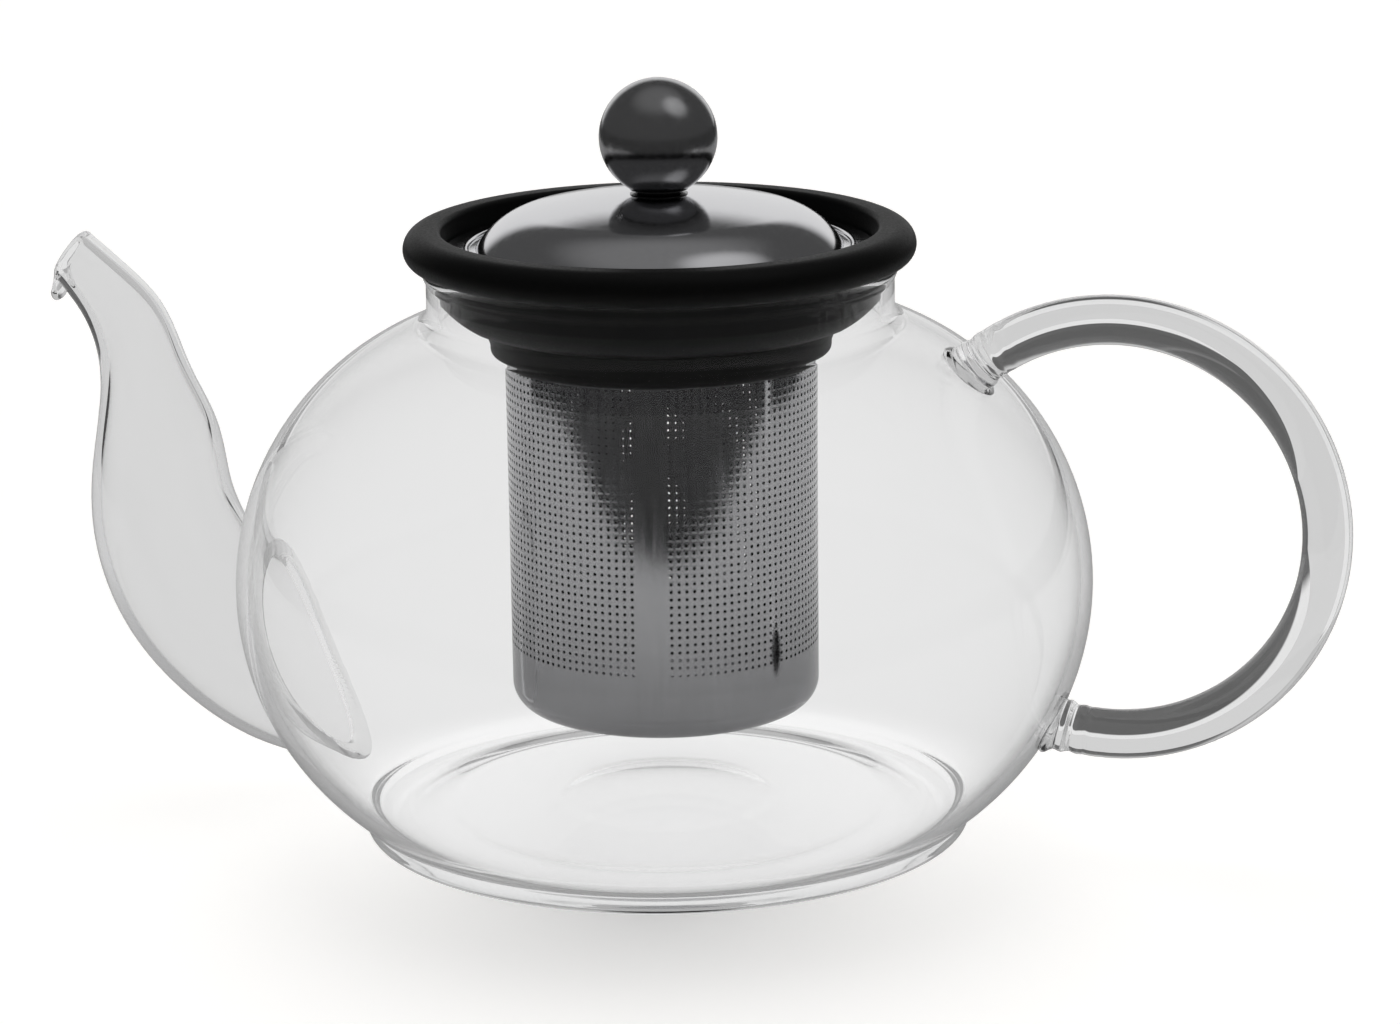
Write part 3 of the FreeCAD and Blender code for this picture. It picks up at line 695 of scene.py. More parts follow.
class BuildBody(bpy.types.Operator):
    """Blown body: one outline of arcs turned about Z, with the spout's passage cut through it."""
    bl_idname = "teapot.body"
    bl_label = "Glass body"

    def execute(self, context):
        glass = context.scene.teapot_glass
        mesh = lathe("glass_body_blown", self.outline(glass), WIDE_TURNS)
        piece = dress(mesh, ["glass_body"], "pot", "glass", "blown_glass", sharp=SHARP_BODY)
        self.cut_passage(glass, piece)
        return {"FINISHED"}

    def outline(self, glass):
        """From the middle of the base, out over foot, belly and neck, and back along the inside.

        The step in the base and the bead at the rim are half cosine waves. The inside floor runs
        parallel to the base.
        """
        wall = glass.wall
        fillet = glass.shoulder_fillet
        curve = glass.belly_curve
        belly = belly_centre(glass)
        across = glass.neck_radius + fillet - belly[0]
        shoulder = beside_belly(glass, across, curve + fillet, 1)
        inner_shoulder = beside_belly(glass, across - wall, curve - wall + fillet, 1)
        meet = bearing(belly, shoulder)
        inner_meet = bearing(belly, inner_shoulder)
        crease = beside_belly(glass, glass.foot_radius + glass.foot_crease - belly[0],
                              curve + glass.foot_crease, -1)
        foot_top = bearing(belly, crease)
        face_outer = glass.foot_radius - glass.foot_round
        recess = glass.base_recess
        wave = np.linspace(0, 1, WAVE_ROWS)
        step = np.stack((face_outer - glass.foot_face - glass.base_step * (1 - wave),
                         recess * (1 + np.cos(np.pi * wave)) / 2), axis=-1)
        rise = glass.push_up_rise
        dome = (glass.push_up_radius ** 2 + rise ** 2) / (2 * rise)
        spread = math.degrees(math.asin(glass.push_up_radius / dome))
        floor = recess + glass.base_wall
        corner_up = glass.base_wall + glass.floor_round
        corner_reach = curve - wall - glass.floor_round
        corner = (belly[0] + math.sqrt(corner_reach ** 2 - (belly[1] - corner_up) ** 2), corner_up)
        corner_turn = bearing(belly, corner)
        roll = (wall + glass.neck_bead) / 2
        lip = (glass.neck_radius - wall + roll, glass.neck_top - roll)
        bead = np.stack((glass.neck_radius + glass.neck_bead * (1 - np.cos(np.pi * wave)) / 2,
                         lip[1] - NECK_BEAD_RUN * (1 - wave)), axis=-1)
        return np.vstack((
            arc((0, recess + rise - dome), dome, 90, 90 - spread),
            step,
            arc((face_outer, glass.foot_round), glass.foot_round, -90, 0, 8),
            arc(crease, glass.foot_crease, 180, foot_top + 180, 8),
            arc(belly, curve, foot_top, meet, 96),
            arc(shoulder, fillet, meet - 180, -180, 12),
            bead,
            arc(lip, roll, 0, 180, 12),
            arc(inner_shoulder, fillet, -180, inner_meet - 180, 12),
            arc(belly, curve - wall, inner_meet, corner_turn, 96),
            arc(corner, glass.floor_round, corner_turn, -90, 12),
            step[::-1] + (0, glass.base_wall),
            arc((0, floor + rise - dome), dome, 90 - spread, 90),
        ))

    def cut_passage(self, glass, piece):
        """Take the spout's inner tube, rounded over into the pot and closed, from the body.

        Under the outer face at depth d = a sin t the rounding has spread by b (1 - cos t).
        """
        turn = full_turn(SPOUT_TURNS)
        root = spout_root(glass, glass.spout_wall, turn)
        edge, centre = spout_tube(glass, glass.spout_wall, root, turn)
        normal = above_belly(glass, edge)[1]
        bend = np.radians(np.linspace(CUTTER_BEND, 0, BEND_ROWS))[:, None, None]
        inside = (edge - normal * PASSAGE_DEPTH * np.sin(bend)
                  + along_face(edge, centre, normal) * glass.wall * (1 - np.cos(bend)))
        run = root + np.linspace(*CUTTER_RUN)[:, None]
        outside = spout_tube(glass, glass.spout_wall, run, np.broadcast_to(turn, run.shape))[0]
        cutter_mesh = skin("passage", capped(np.concatenate((inside, outside))))
        cutter = new_object("passage", cutter_mesh)
        hole = piece.modifiers.new("passage", "BOOLEAN")
        hole.operation = "DIFFERENCE"
        hole.solver = "EXACT"
        hole.object = cutter
        whole = piece.data
        depsgraph = bpy.context.evaluated_depsgraph_get()
        cut = bpy.data.meshes.new_from_object(piece.evaluated_get(depsgraph))
        piece.modifiers.clear()
        piece.data = cut
        cut.set_sharp_from_angle(angle=math.radians(SHARP_BODY))
        name = whole.name
        bpy.data.objects.remove(cutter)
        bpy.data.meshes.remove(cutter_mesh)
        bpy.data.meshes.remove(whole)
        cut.name = name


class BuildSpout(bpy.types.Operator):
    """Hollow spout: an oval carried along an S, rolled over at the mouth, spread on the belly."""
    bl_idname = "teapot.spout"
    bl_label = "Spout"

    def execute(self, context):
        glass = context.scene.teapot_glass
        turn = full_turn(SPOUT_TURNS)
        ease = np.linspace(0, 1, SPOUT_ROWS)[:, None] ** ROW_CROWDING
        outer = self.wall_rows(glass, 0.0, turn, ease, glass.weld_flare)
        inner = self.wall_rows(glass, glass.spout_wall, turn, ease, 0.0)
        lip = self.lip_rows(glass, turn, outer[-1], inner[-1], outer[-2])
        mesh = skin("spout_blown", np.concatenate((outer, lip, inner[::-1])), closed=True)
        dress(mesh, ["spout"], "pot", "glass", "spout_glass", sharp=SHARP_SPOUT)
        return {"FINISHED"}

    def wall_rows(self, glass, inset, turn, ease, flare):
        """Rows of one wall from the belly to the mouth.

        At height h over the belly a row is spread along the belly's face by flare exp(-h / reach).
        """
        root = spout_root(glass, inset, turn)
        place = root + (1 - root) * ease
        points, centre = spout_tube(glass, inset, place, np.broadcast_to(turn, place.shape))
        height, normal = above_belly(glass, points)
        spread = flare * np.exp(-np.maximum(height, 0) / glass.weld_reach)
        points = points + along_face(points, centre, normal) * spread[..., None]
        height, normal = above_belly(glass, points)
        wanted = np.maximum(height, WELD_GAP)
        wanted[0] = WELD_GAP
        return points + normal * (wanted - height)[..., None]

    def lip_rows(self, glass, turn, outer, inner, before):
        """Rolled mouth: a half round over the wall's end, drawn out and back at the lower edge.

        A row is end + bead (side sin t + front cos t), as t sweeps from one wall to the other. The
        drip fades as exp(-w^4), where w is the share of half its span.
        """
        radial = unit(outer - inner)
        along = unit(outer - before)
        away = np.abs((turn - np.pi) / (glass.drip_span / 2))
        curl = np.exp(-away ** 4)[:, None]
        end = (outer + inner) / 2 + curl * (radial * glass.drip_reach - along * glass.drip_back)
        side = radial * (1 - curl) - along * curl
        front = along * (1 - curl) + radial * curl
        sweep = np.radians(np.linspace(90, -90, BEND_ROWS))[:, None, None]
        return end + glass.lip_bead * (side * np.sin(sweep) + front * np.cos(sweep))


class BuildHandle(bpy.types.Operator):
    """Bent rod: a circle carried round an arc, swollen in rings at its welds.

    At the distance s from an end the rod's radius grows by a exp(-(s / f)^2) for the weld, and by
    b sin(2 pi s / p) exp(-(s / l)^2) for its rings.
    """
    bl_idname = "teapot.handle"
    bl_label = "Handle"

    def execute(self, context):
        glass = context.scene.teapot_glass
        centre = np.array((glass.belly_radius + glass.loop_out,
                           glass.belly_height + glass.loop_up))
        belly = belly_centre(glass)
        apart = np.hypot(*(centre - belly))
        facing = math.atan2(*(belly - centre)[::-1])
        spread = math.acos((apart ** 2 + glass.loop ** 2 - glass.belly_curve ** 2)
                           / (2 * apart * glass.loop))
        sunk = WELD_SINK / glass.loop
        begin = facing - spread + sunk
        finish = facing + spread - 2 * math.pi - sunk
        along = np.linspace(0, 1, ROD_ROWS)
        sweep = (begin + (finish - begin) * along)[:, None]
        from_end = np.minimum(along, 1 - along) * abs(finish - begin) * glass.loop
        swell = np.exp(-(from_end / (WELD_FALL * glass.weld_length)) ** 2)
        rings = (np.sin(from_end / WELD_RING_PITCH * 2 * np.pi)
                 * np.exp(-(from_end / glass.weld_length) ** 2))
        radius = (glass.rod + (glass.weld_radius - glass.rod) * swell
                  + WELD_RING_HEIGHT * rings)[:, None]
        turn = full_turn(ROD_TURNS)
        reach = glass.loop + radius * np.cos(turn)
        points = np.stack((centre[0] + reach * np.cos(sweep), radius * np.sin(turn),
                           centre[1] + reach * np.sin(sweep)), axis=-1)
        dress(skin("handle_drawn", capped(points)), ["handle"], "pot", "glass", "drawn_glass")
        return {"FINISHED"}


class BuildCollar(bpy.types.Operator):
    """Moulded collar: one closed outline of arcs and straight runs turned about Z."""
    bl_idname = "teapot.collar"
    bl_label = "Collar"

    def execute(self, context):
        size = context.scene.teapot_infuser
        top = size.rim_top
        middle = top - size.rim_top_round
        seat = middle - size.rim_low_round
        well = top - size.well_depth
        plug_end = seat - size.plug_depth
        bowl_end = plug_end - size.bowl_depth
        skirt_end = COLLAR_BOX[0][2]
        ledge = size.plug_radius - size.collar_wall
        bore = size.sleeve_radius + SLEEVE_CLEARANCE
        rim = SLEEVE_BOX[1][1] + SLEEVE_CLEARANCE
        sleeve_seat = SLEEVE_BOX[1][2] - size.sheet
        plug_edge = np.array((size.plug_radius, plug_end))
        skirt_edge = np.array((size.skirt_radius, bowl_end))
        chord = skirt_edge - plug_edge
        span = np.hypot(*chord)
        inward = np.array((chord[1], -chord[0])) / span
        bowl = plug_edge + chord / 2 + inward * math.sqrt(size.bowl_curve ** 2 - span ** 2 / 4)
        edge = size.edge_round
        soft = SMALL_ROUND
        outline = np.vstack((
            arc((size.rim_radius - size.rim_low_round, middle), size.rim_low_round, -90, 0, 14),
            arc((size.rim_radius - size.rim_top_round, middle), size.rim_top_round, 0, 90, 18),
            arc((size.well_radius + edge, top - edge), edge, 90, 180, 8),
            arc((size.well_radius - soft, well + soft), soft, 0, -90, 4),
            arc((ledge + soft, well - soft), soft, 90, 180, 4),
            [(ledge, plug_end), (rim, sleeve_seat), (bore, sleeve_seat)],
            arc((bore + soft, skirt_end + soft), soft, 180, 270, 4),
            arc((size.skirt_radius - size.skirt_round, skirt_end + size.skirt_round),
                size.skirt_round, -90, 0, 8),
            arc(bowl, size.bowl_curve, bearing(bowl, skirt_edge), bearing(bowl, plug_edge), 16),
            [(size.plug_radius, seat)],
        ))
        mesh = lathe("collar_moulded", outline, WIDE_TURNS, closed=True)
        dress(mesh, ["collar"], "infuser", "black_plastic", "black_moulding")
        return {"FINISHED"}


class BuildInfuser(bpy.types.Operator):
    """Perforated sleeve and its base cup."""
    bl_idname = "teapot.infuser"
    bl_label = "Infuser"

    def execute(self, context):
        size = context.scene.teapot_infuser
        self.sleeve(size)
        self.cup(size)
        return {"FINISHED"}

    def sleeve(self, size):
        """Sheet of square cells rolled into a tube, each with an eight-sided hole, and its rim.

        A cell's point at (a, h) of the flat sheet goes to (r cos(a / r), r sin(a / r), h). The
        cells in the seam's strip and next to the edges stay plain. Round a hole, each edge of the
        cell has a quad and each corner a triangle.
        """
        outer = size.sleeve_radius
        inner = outer - size.sheet
        pitch = size.hole_pitch
        low = CUP_BOX[0][2] + size.cup_band
        top = SLEEVE_BOX[1][2]
        seat = top - size.sheet
        columns = int(round(2 * math.pi * outer / pitch))
        rows = int((COLLAR_BOX[0][2] + HOLE_RUN_UP - low) / pitch)
        heights = np.concatenate(([low], low + EDGE_STRIP + pitch * np.arange(rows + 1), [seat]))
        turns = size.seam_turn + 2 * np.pi * (np.arange(columns) + 0.5) / columns
        row, column = np.meshgrid(np.arange(len(heights) - 1), np.arange(columns), indexing="ij")
        from_seam = np.minimum(column, columns - 1 - column)
        seam = int(round(size.seam_width / pitch))
        holed = (row > 0) & (row <= rows) & (from_seam >= seam / 2)
        middle_turn = turns[column[holed]] + np.pi / columns
        middle_height = (heights[row[holed]] + heights[row[holed] + 1]) / 2
        spokes = full_turn(HOLE_SIDES) + np.pi / HOLE_SIDES
        hole_turn = middle_turn[:, None] + size.hole_radius / outer * np.cos(spokes)
        hole_height = middle_height[:, None] + size.hole_radius * np.sin(spokes)
        grid_height, grid_turn = np.meshgrid(heights, turns, indexing="ij")
        soft = size.sheet / 2
        outline = np.vstack((
            arc((SLEEVE_BOX[1][1] - soft, seat + soft), soft, -90, 90, 6),
            arc((inner + soft, top - soft), soft, 90, 180, 4),
        ))
        blocks = [round_axis(radius, turn, height).reshape(-1, 3) for radius in (outer, inner)
                  for turn, height in ((grid_turn, grid_height), (hole_turn, hole_height))]
        blocks.append(round_axis(outline[:, 0, None], turns, outline[:, 1, None]).reshape(-1, 3))
        points = np.concatenate(blocks)
        second = len(blocks[0]) + len(blocks[1])
        rim = 2 * second
        hole = len(blocks[0]) + np.arange(hole_turn.size).reshape(hole_turn.shape)
        cells = grid_faces(len(heights), columns)
        faces = []
        for start in (0, second):
            faces += (cells[~holed.ravel()] + start).tolist()
            corners = (cells[holed.ravel()] + start).T
            ring = np.roll((hole + start).T, -HOLE_FIRST, axis=0)
            for k in range(4):
                here, after = corners[k], corners[(k + 1) % 4]
                one, two, three = (ring[(2 * k + side) % HOLE_SIDES] for side in range(3))
                faces += faces_of(here, after, two, one) + faces_of(after, three, two)
        for k in range(HOLE_SIDES):
            this, after = hole[:, k], hole[:, (k + 1) % HOLE_SIDES]
            faces += faces_of(this, after, after + second, this + second)
        edge = np.arange(columns)
        step = (edge + 1) % columns
        last = (len(heights) - 1) * columns
        finish = rim + (len(outline) - 1) * columns
        faces += faces_of(edge, step, step + second, edge + second)
        faces += (grid_faces(len(outline), columns) + rim).tolist()
        for a, b in ((last, rim), (finish, second + last)):
            faces += faces_of(a + edge, a + step, b + step, b + edge)
        mesh = make_mesh("infuser_sleeve_perforated", points, faces)
        dress(mesh, ["infuser_sleeve"], "infuser", "infuser_steel", "rolled_sheet")

    def cup(self, size):
        """Drawn cup: one closed outline of arcs and straight runs turned about Z."""
        sheet = size.sheet
        outer = size.sleeve_radius
        inner = outer - sheet
        lip = inner - LIP_CLEARANCE
        bottom = CUP_BOX[0][2]
        band = bottom + size.cup_band
        corner = (outer - size.cup_round, bottom + size.cup_round)
        soft = sheet / 2
        outline = np.vstack((
            [(0, bottom)],
            arc(corner, size.cup_round, -90, 0, 12),
            [(outer, band), (lip, band)],
            arc((lip - soft, CUP_BOX[1][2] - soft), soft, 0, 180, 6),
            [(lip - sheet, band - sheet), (inner, band - 2 * sheet)],
            arc(corner, size.cup_round - sheet, 0, -90, 12),
            [(0, bottom + sheet)],
        ))
        mesh = lathe("infuser_cup_drawn", outline, CUP_TURNS)
        dress(mesh, ["infuser_cup"], "infuser", "infuser_steel", "rolled_sheet")


class BuildLid(bpy.types.Operator):
    """Pressed lid: flange, bead, shoulder and crown, one closed outline turned about Z."""
    bl_idname = "teapot.lid"
    bl_label = "Lid"

    def execute(self, context):
        size = context.scene.teapot_lid
        sheet = size.sheet
        seat = size.seat
        top = seat + sheet
        shoulder = np.array((size.dome_radius - size.shoulder * math.sin(size.dome_slope),
                             top - size.shoulder * math.cos(size.dome_slope)))
        drop = top + size.dome_rise - shoulder[1]
        curve = (shoulder[0] ** 2 + drop ** 2 - size.shoulder ** 2) / (2 * (drop - size.shoulder))
        under_curve = curve - sheet
        crown = np.array((0.0, top + size.dome_rise - curve))
        meet = bearing(crown, shoulder)
        foot = 90 - math.degrees(size.dome_slope)
        under = size.shoulder - sheet
        under_foot = math.degrees(math.asin((seat - shoulder[1]) / under))
        land, under_land = (math.degrees(math.acos(size.land_radius / radius))
                            for radius in (curve, under_curve))
        land_top, land_low = (crown[1] + math.sqrt(radius ** 2 - size.land_radius ** 2)
                              for radius in (curve, under_curve))
        hole = size.screw_radius + SCREW_CLEARANCE
        soft = sheet / 2
        outline = np.vstack((
            arc((size.flange_radius - soft, seat + soft), soft, -90, 90, 8),
            arc((size.bead_radius, top), size.bead, 0, 180, 12),
            arc(shoulder, size.shoulder, foot, meet, 24),
            arc(crown, curve, meet, land, 48),
            [(hole, land_top), (hole, land_low)],
            arc(crown, under_curve, under_land, meet, 48),
            arc(shoulder, under, meet, under_foot, 24),
        ))
        mesh = lathe("lid_pressed", outline, WIDE_TURNS, closed=True)
        dress(mesh, ["lid_shell"], "lid", "polished_steel", "pressed_steel")
        return {"FINISHED"}


class BuildKnob(bpy.types.Operator):
    """Ball, spacer, washer and screw of the knob."""
    bl_idname = "teapot.knob"
    bl_label = "Knob"

    def execute(self, context):
        size = context.scene.teapot_lid
        self.ball(size)
        self.ring(size, SPACER_BOX, "knob_spacer", SPACER_WAIST, "dark_steel")
        self.ring(size, WASHER_BOX, "knob_washer", 0.0, "pressed_steel")
        self.screw(size)
        return {"FINISHED"}

    def ball(self, size):
        """Circle from the flat to the top, and a blind hole, turned about Z."""
        face = BALL_BOX[0][2]
        centre = BALL_BOX[1][2] - size.ball_radius
        flat = -math.degrees(math.acos(SPACER_BOX[1][1] / size.ball_radius))
        hole = size.screw_radius + THREAD_CLEARANCE
        end = SCREW_BOX[1][2] + SCREW_END_ROOM
        outline = np.vstack((
            [(0, end), (hole, end), (hole, face)],
            arc((0, centre), size.ball_radius, flat, 90, 80),
        ))
        mesh = lathe("knob_ball_polished", outline, BALL_TURNS)
        dress(mesh, ["knob_ball"], "lid", "polished_steel", "polished_ball")

    def ring(self, size, box, node, waist, finish):
        """Ring with softened edges and a side drawn in by half a sine wave."""
        hole = size.screw_radius + SCREW_CLEARANCE
        radius = box[1][1]
        low = box[0][2]
        high = box[1][2]
        soft = RING_ROUND
        run = np.linspace(0, 1, WAVE_ROWS - 1)
        side = np.stack((radius - waist * np.sin(np.pi * run),
                         low + soft + (high - low - 2 * soft) * run), axis=-1)
        outline = np.vstack((
            arc((radius - soft, low + soft), soft, -90, 0, 4),
            side,
            arc((radius - soft, high - soft), soft, 0, 90, 4),
            [(hole, high), (hole, low)],
        ))
        mesh = lathe(node + "_turned", outline, SMALL_TURNS, closed=True)
        dress(mesh, [node], "lid", "polished_steel", finish)

    def screw(self, size):
        """Screw as one surface over turn and run: the radius is wound with the thread's ridge.

        The run goes from the middle of the head's underside, out over the head and up the shank.
        The ridge is a wave of height along the pitch, shifted by the turn. The cross recess pushes
        the head's face up where either slot's half width is larger than the offset.
        """
        low = SCREW_BOX[0][2]
        head_top = WASHER_BOX[0][2]
        tip = SCREW_BOX[1][2]
        head = SCREW_BOX[1][1]
        soft = (head_top - low) / 2
        turn = full_turn(SMALL_TURNS)
        face = np.column_stack((np.linspace(0, head - soft, HEAD_ROWS), np.full(HEAD_ROWS, low)))
        rise = np.linspace(head_top, tip - THREAD_RUN_OUT, THREAD_ROWS)
        outline = np.vstack((
            face,
            arc((head - soft, low + soft), soft, -90, 0, 8),
            [(head, head_top)],
            np.column_stack((np.full(THREAD_ROWS, size.screw_radius), rise)),
            [(size.screw_radius - size.thread_depth, tip), (0, tip)],
        ))
        radius = np.tile(outline[:, :1], len(turn))
        wave = (rise[:, None] / size.thread_pitch - turn / (2 * np.pi)) % 1
        shank = slice(len(outline) - THREAD_ROWS - 2, len(outline) - 2)
        radius[shank] -= size.thread_depth * np.abs(2 * wave - 1)
        points = round_axis(radius, turn, outline[:, 1:])
        x, y = np.moveaxis(points[:HEAD_ROWS, :, :2], -1, 0)
        points[:HEAD_ROWS, :, 2] += RECESS_DEPTH * np.maximum(recess_mask(x, y), recess_mask(y, x))
        dress(skin("knob_screw_threaded", points), ["knob_screw"], "lid", "polished_steel",
              "pressed_steel")


class BuildStage(bpy.types.Operator):
    """White table, card, studio surroundings, lamp and camera."""
    bl_idname = "teapot.stage"
    bl_label = "Stage"

    def execute(self, context):
        stage = context.scene.teapot_stage
        self.right = Vector((math.cos(stage.azimuth), math.sin(stage.azimuth), 0))
        self.front = Vector((math.sin(stage.azimuth), -math.cos(stage.azimuth), 0))
        self.camera(context, stage)
        self.table(stage)
        self.card(stage)
        self.surroundings(context)
        self.lamp(stage)
        context.scene.view_settings.view_transform = "Standard"
        return {"FINISHED"}

    def camera(self, context, stage):
        """Camera on a sphere about the aim point, turned so that the point meets its pixel."""
        up = stage.elevation
        back = self.front * math.cos(up) + Vector((0, 0, math.sin(up)))
        above = back.cross(self.right)
        turned_right = self.right * math.cos(stage.roll) + above * math.sin(stage.roll)
        turned_up = above * math.cos(stage.roll) - self.right * math.sin(stage.roll)
        upright = Matrix((turned_right, turned_up, back)).transposed()
        sight = Vector(((AIM_PIXEL[0] - PICTURE[0] / 2) / FOCAL_PIXELS,
                        -(AIM_PIXEL[1] - PICTURE[1] / 2) / FOCAL_PIXELS, -1))
        offset = sight.rotation_difference(Vector((0, 0, -1))).to_matrix()
        lens = bpy.data.cameras.new("camera")
        lens.sensor_fit = "HORIZONTAL"
        lens.sensor_width = SENSOR
        lens.lens = FOCAL_PIXELS / PICTURE[0] * SENSOR
        lens.clip_start = CLIP_START
        camera = new_object("camera", lens)
        aim = Vector((0, 0, stage.aim_height))
        turn = (upright @ offset).to_4x4()
        camera.matrix_world = Matrix.Translation(aim + back * stage.distance) @ turn
        context.scene.camera = camera

    def flat(self, name, corners):
        """Flat piece of the stage with a white material, and that material's wiring."""
        mesh = bpy.data.meshes.new(name)
        mesh.from_pydata(corners, [], [(0, 1, 2, 3)])
        finish, wire = new_material("white_" + name)
        mesh.materials.append(finish)
        return new_object(name, mesh), wire

    def table(self, stage):
        """White table: plain to the eye but for the shadow on it, and dark beyond its edges."""
        half = TABLE_HALF
        corners = ((-half, -half), (half, -half), (half, half), (-half, half))
        table, wire = self.flat("table", [(x, y, TABLE_DROP) for x, y in corners])
        place = wire.add("NewGeometry", output="Position")
        reach = wire.add("VectorMath", {0: place}, "Value", operation="LENGTH")
        beside = wire.dot(place, self.right)
        behind = wire.dot(place, -self.front)
        aside = wire.math("ABSOLUTE", beside)
        ahead = wire.largest(wire.dot(place, self.front), 0.0)
        beyond = wire.largest(wire.path("Is Glossy Ray"), wire.path("Is Transmission Ray"))
        mirrored = self.reflected(wire)
        oval = [wire.math("POWER", wire.math("DIVIDE", run, edge), 2.0)
                for run, edge in ((ahead, stage.table_front), (aside, stage.table_side))]
        off_mirrored = wire.ramp(wire.math("ADD", *oval), 1 - OVAL_SOFT, 1 + OVAL_SOFT)
        off_back = wire.times(wire.ramp(behind, stage.table_far, stage.table_far + FAR_SOFT),
                              self.gap(wire, wire.math("DIVIDE", aside, reach)))
        off_right = wire.ramp(beside, stage.table_right, stage.table_right + RIGHT_SOFT)
        shade = wire.times(wire.ramp(beside, *SHADE_LEFT), wire.ramp(behind, *SHADE_BACK))
        off_through = wire.times(wire.largest(off_back, off_right, shade), self.straight(wire))
        off_table = wire.times(beyond, wire.blend(mirrored, off_through, off_mirrored))
        # Painted light: through glass the table is brighter under the pot. Painted shade: in a
        # mirror the table is darker near the pot
        through = wire.ramp(reach, *UNDER_POT_PAINTED_LIGHT, TABLE_UNDER_PAINTED_LIGHT, TABLE_THROUGH)
        seen = wire.ramp(reach, *NEAR_POT_PAINTED_SHADE, TABLE_NEAR_PAINTED_SHADE, TABLE_MIRRORED)
        seen = wire.ramp(wire.path("Transmission Depth"), 0.5, 1.5, TABLE_OUTSIDE, seen)
        level = wire.times(beyond, wire.blend(mirrored, through, seen))
        glow = wire.blend(wire.path("Is Camera Ray"), level, TABLE_GLOW)
        lit = wire.add("BsdfDiffuse", {
            "Color": wire.tint(beyond, stage.table_colour, TABLE_DULL)})
        white = wire.add("AddShader", {
            0: lit, 1: wire.add("Emission", {"Strength": glow})})
        dark = wire.add("Emission", {
            "Strength": wire.blend(mirrored, THROUGH_DARK, ROOM_LEVEL)})
        wire.finish(wire.add("MixShader", {"Fac": off_table, 1: white, 2: dark}))

    def card(self, stage):
        """Low white card behind the handle, seen through the handle only."""
        back = -self.front * stage.card_back
        foot = [back + self.right * CARD_LEFT, back + self.right * CARD_RIGHT]
        top = [corner + Vector((0, 0, stage.card_height)) for corner in reversed(foot)]
        card, wire = self.flat("card", foot + top)
        card.visible_camera = card.visible_diffuse = False
        card.visible_glossy = card.visible_shadow = False
        wire.finish(wire.add("MixShader", {
            "Fac": self.straight(wire), 1: wire.add("BsdfTransparent"),
            2: wire.add("Emission", {"Strength": TABLE_THROUGH})}))

    def reflected(self, wire):
        """Whether a ray was thrown back, and not only to and fro inside the glass.

        It was, where it crossed no glass, or met one mirror and crossed one wall or two. Counts
        are compared half way between whole numbers.
        """
        times = wire.path("Glossy Depth")
        crossed = wire.path("Transmission Depth")
        two_walls = wire.below(wire.math("ABSOLUTE", wire.math("SUBTRACT", crossed, 4.0)), 0.5)
        walls = wire.largest(two_walls, wire.below(crossed, 2.5))
        outside = wire.largest(wire.below(crossed, 0.5), wire.times(walls, wire.below(times, 1.5)))
        return wire.times(wire.over(times, 0.5), outside)

    def straight(self, wire):
        """Whether a ray went through one piece of glass and wasn't thrown back."""
        return wire.times(wire.below(wire.path("Transmission Depth"), 2.5),
                          wire.below(wire.path("Glossy Depth"), 0.5))

    def gap(self, wire, aside):
        """Dark gap between the pale screens behind the table, by the sine of the angle off it."""
        return wire.ramp(aside, *GAP_SIDES)

    def surroundings(self, context):
        """White to the eye.

        In a mirror: a white sweep behind, a dim ceiling with a soft box, a dark room. Through
        glass: dark above the table's edge and pale overhead.
        """
        world = bpy.data.worlds.new("studio")
        context.scene.world = world
        world.use_nodes = True
        wire = Wiring(world.node_tree)
        look = wire.add("TexCoord", output="Generated")
        height = wire.dot(look, (0, 0, 1))
        rear = wire.dot(look, -self.front)
        aside = wire.dot(look, self.right)
        sweep = wire.times(wire.ramp(rear, *SWEEP_REAR), wire.slope(height, SWEEP_TOP))
        ceiling = wire.slope(height, CEILING_RUN, CEILING_LEVEL, CEILING_TOP)
        room = wire.largest(sweep, wire.slope(height, HORIZON, ROOM_LEVEL, ceiling))
        across, ahead, up = BOX_PLACE
        soft_box = (self.right * across + self.front * ahead + Vector((0, 0, up))).normalized()
        spot = wire.slope(wire.dot(look, soft_box), BOX_EDGE, 0.0, LAMP_MIRRORED)
        in_mirror = wire.math("ADD", room, spot)
        from_inside = wire.over(wire.path("Transmission Depth"), 0.5)
        upwards = wire.times(from_inside, wire.over(height, 0.0))
        mirrored = wire.times(self.reflected(wire), wire.math("SUBTRACT", 1.0, upwards))
        gap = wire.largest(self.gap(wire, wire.math("ABSOLUTE", aside)),
                           wire.ramp(aside, *GAP_RIGHT))
        gap = wire.times(gap, wire.slope(height, GAP_TOP), wire.over(rear, 0.0),
                         self.straight(wire))
        level = wire.blend(mirrored, wire.blend(gap, THROUGH_TOP, THROUGH_DARK), in_mirror)
        level = wire.blend(wire.path("Is Diffuse Ray"), level, PLAIN_LEVEL)
        level = wire.blend(wire.path("Is Camera Ray"), level, 1.0)
        wire.finish(wire.add("Background", {"Strength": level}),
                    kind="OutputWorld")

    def lamp(self, stage):
        """Wide soft light from behind and above, that throws the shadow to the front."""
        light = bpy.data.lights.new("soft_light", "SUN")
        light.energy = stage.lamp_power
        light.angle = stage.lamp_spread
        lamp = new_object("soft_light", light)
        up = Vector((0, 0, math.sin(stage.lamp_elevation)))
        toward = self.right * LAMP_ASIDE - self.front * math.cos(stage.lamp_elevation) + up
        lamp.matrix_world = toward.to_track_quat("Z", "Y").to_matrix().to_4x4()
        lamp.visible_glossy = False
        lamp.visible_transmission = False


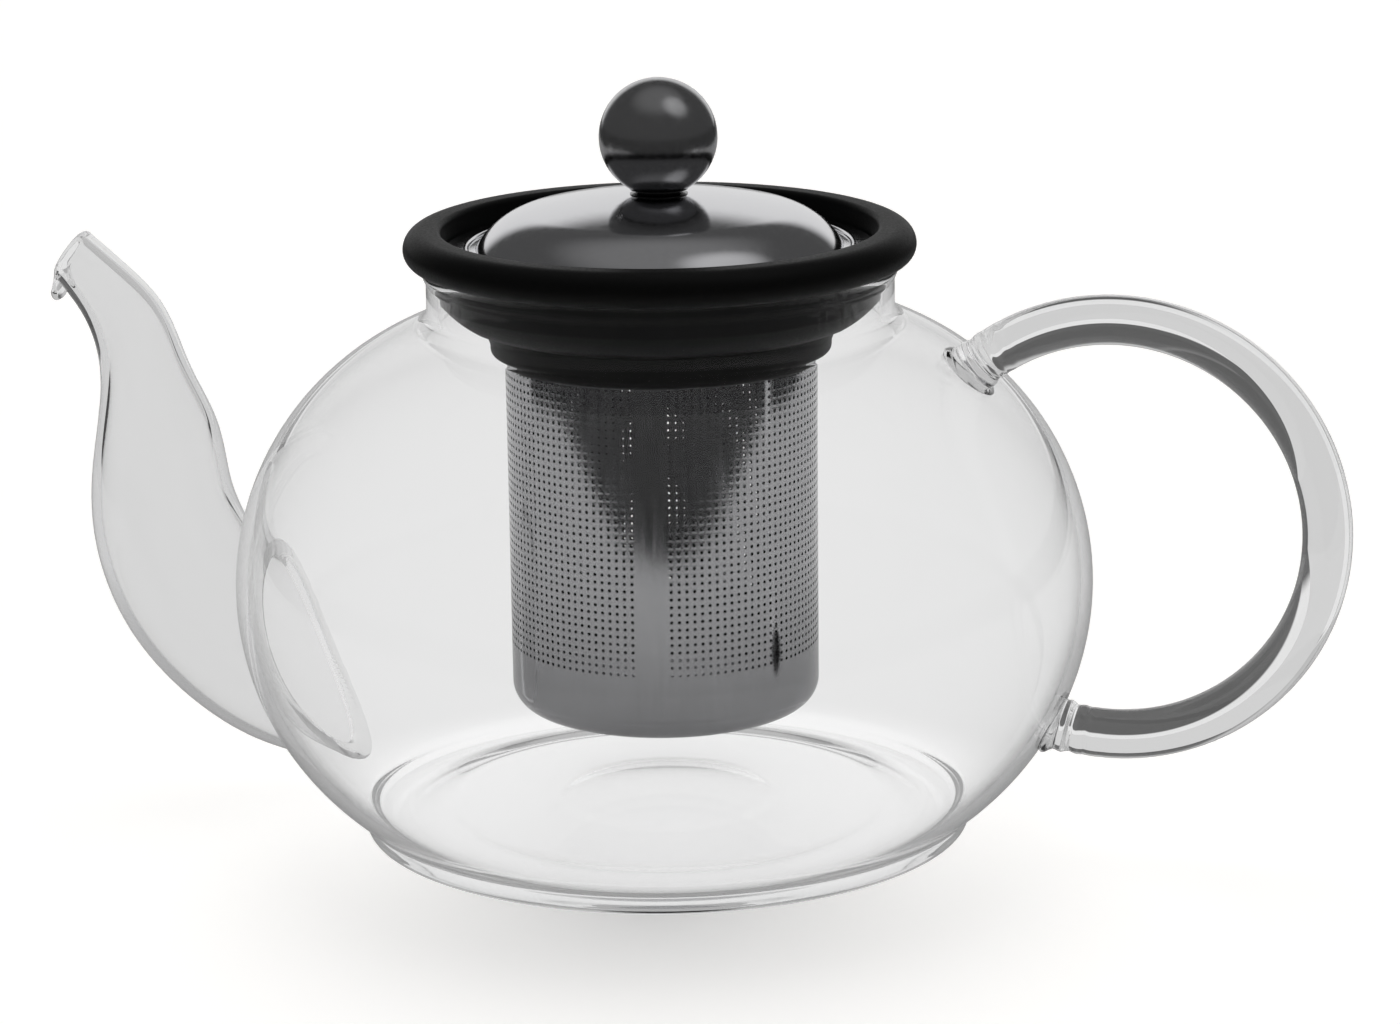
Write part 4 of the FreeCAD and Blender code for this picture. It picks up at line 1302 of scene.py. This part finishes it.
class TeapotPanel(bpy.types.Panel):
    """Sizes, colours and steps of the teapot."""
    bl_idname = "VIEW3D_PT_teapot"
    bl_label = "Teapot"
    bl_space_type = "VIEW_3D"
    bl_region_type = "UI"
    bl_category = "Teapot"

    def draw(self, context):
        for group in GROUPS:
            settings = getattr(context.scene, group)
            box = self.layout.box()
            for name in settings.__annotations__:
                box.prop(settings, name)
        for step in STEPS:
            self.layout.operator(step.bl_idname)


GROUPS = {
    "teapot_glass": TeapotGlass,
    "teapot_infuser": TeapotInfuser,
    "teapot_lid": TeapotLid,
    "teapot_finish": TeapotFinish,
    "teapot_stage": TeapotStage,
}
STEPS = (BuildBody, BuildSpout, BuildHandle, BuildCollar, BuildInfuser, BuildLid, BuildKnob,
         BuildStage)
CLASSES = (*GROUPS.values(), *STEPS, TeapotPanel)


def register():
    """Register the classes and hang the settings on the scene."""
    for each in CLASSES:
        bpy.utils.register_class(each)
    for name, group in GROUPS.items():
        setattr(bpy.types.Scene, name, PointerProperty(type=group))


def unregister():
    """Take the settings and classes away again."""
    for name in GROUPS:
        delattr(bpy.types.Scene, name)
    for each in reversed(CLASSES):
        bpy.utils.unregister_class(each)


def main():
    """Build each piece and the stage."""
    register()
    for step in STEPS:
        family, name = step.bl_idname.split(".")
        getattr(getattr(bpy.ops, family), name)()


if __name__ == "__main__":
    main()
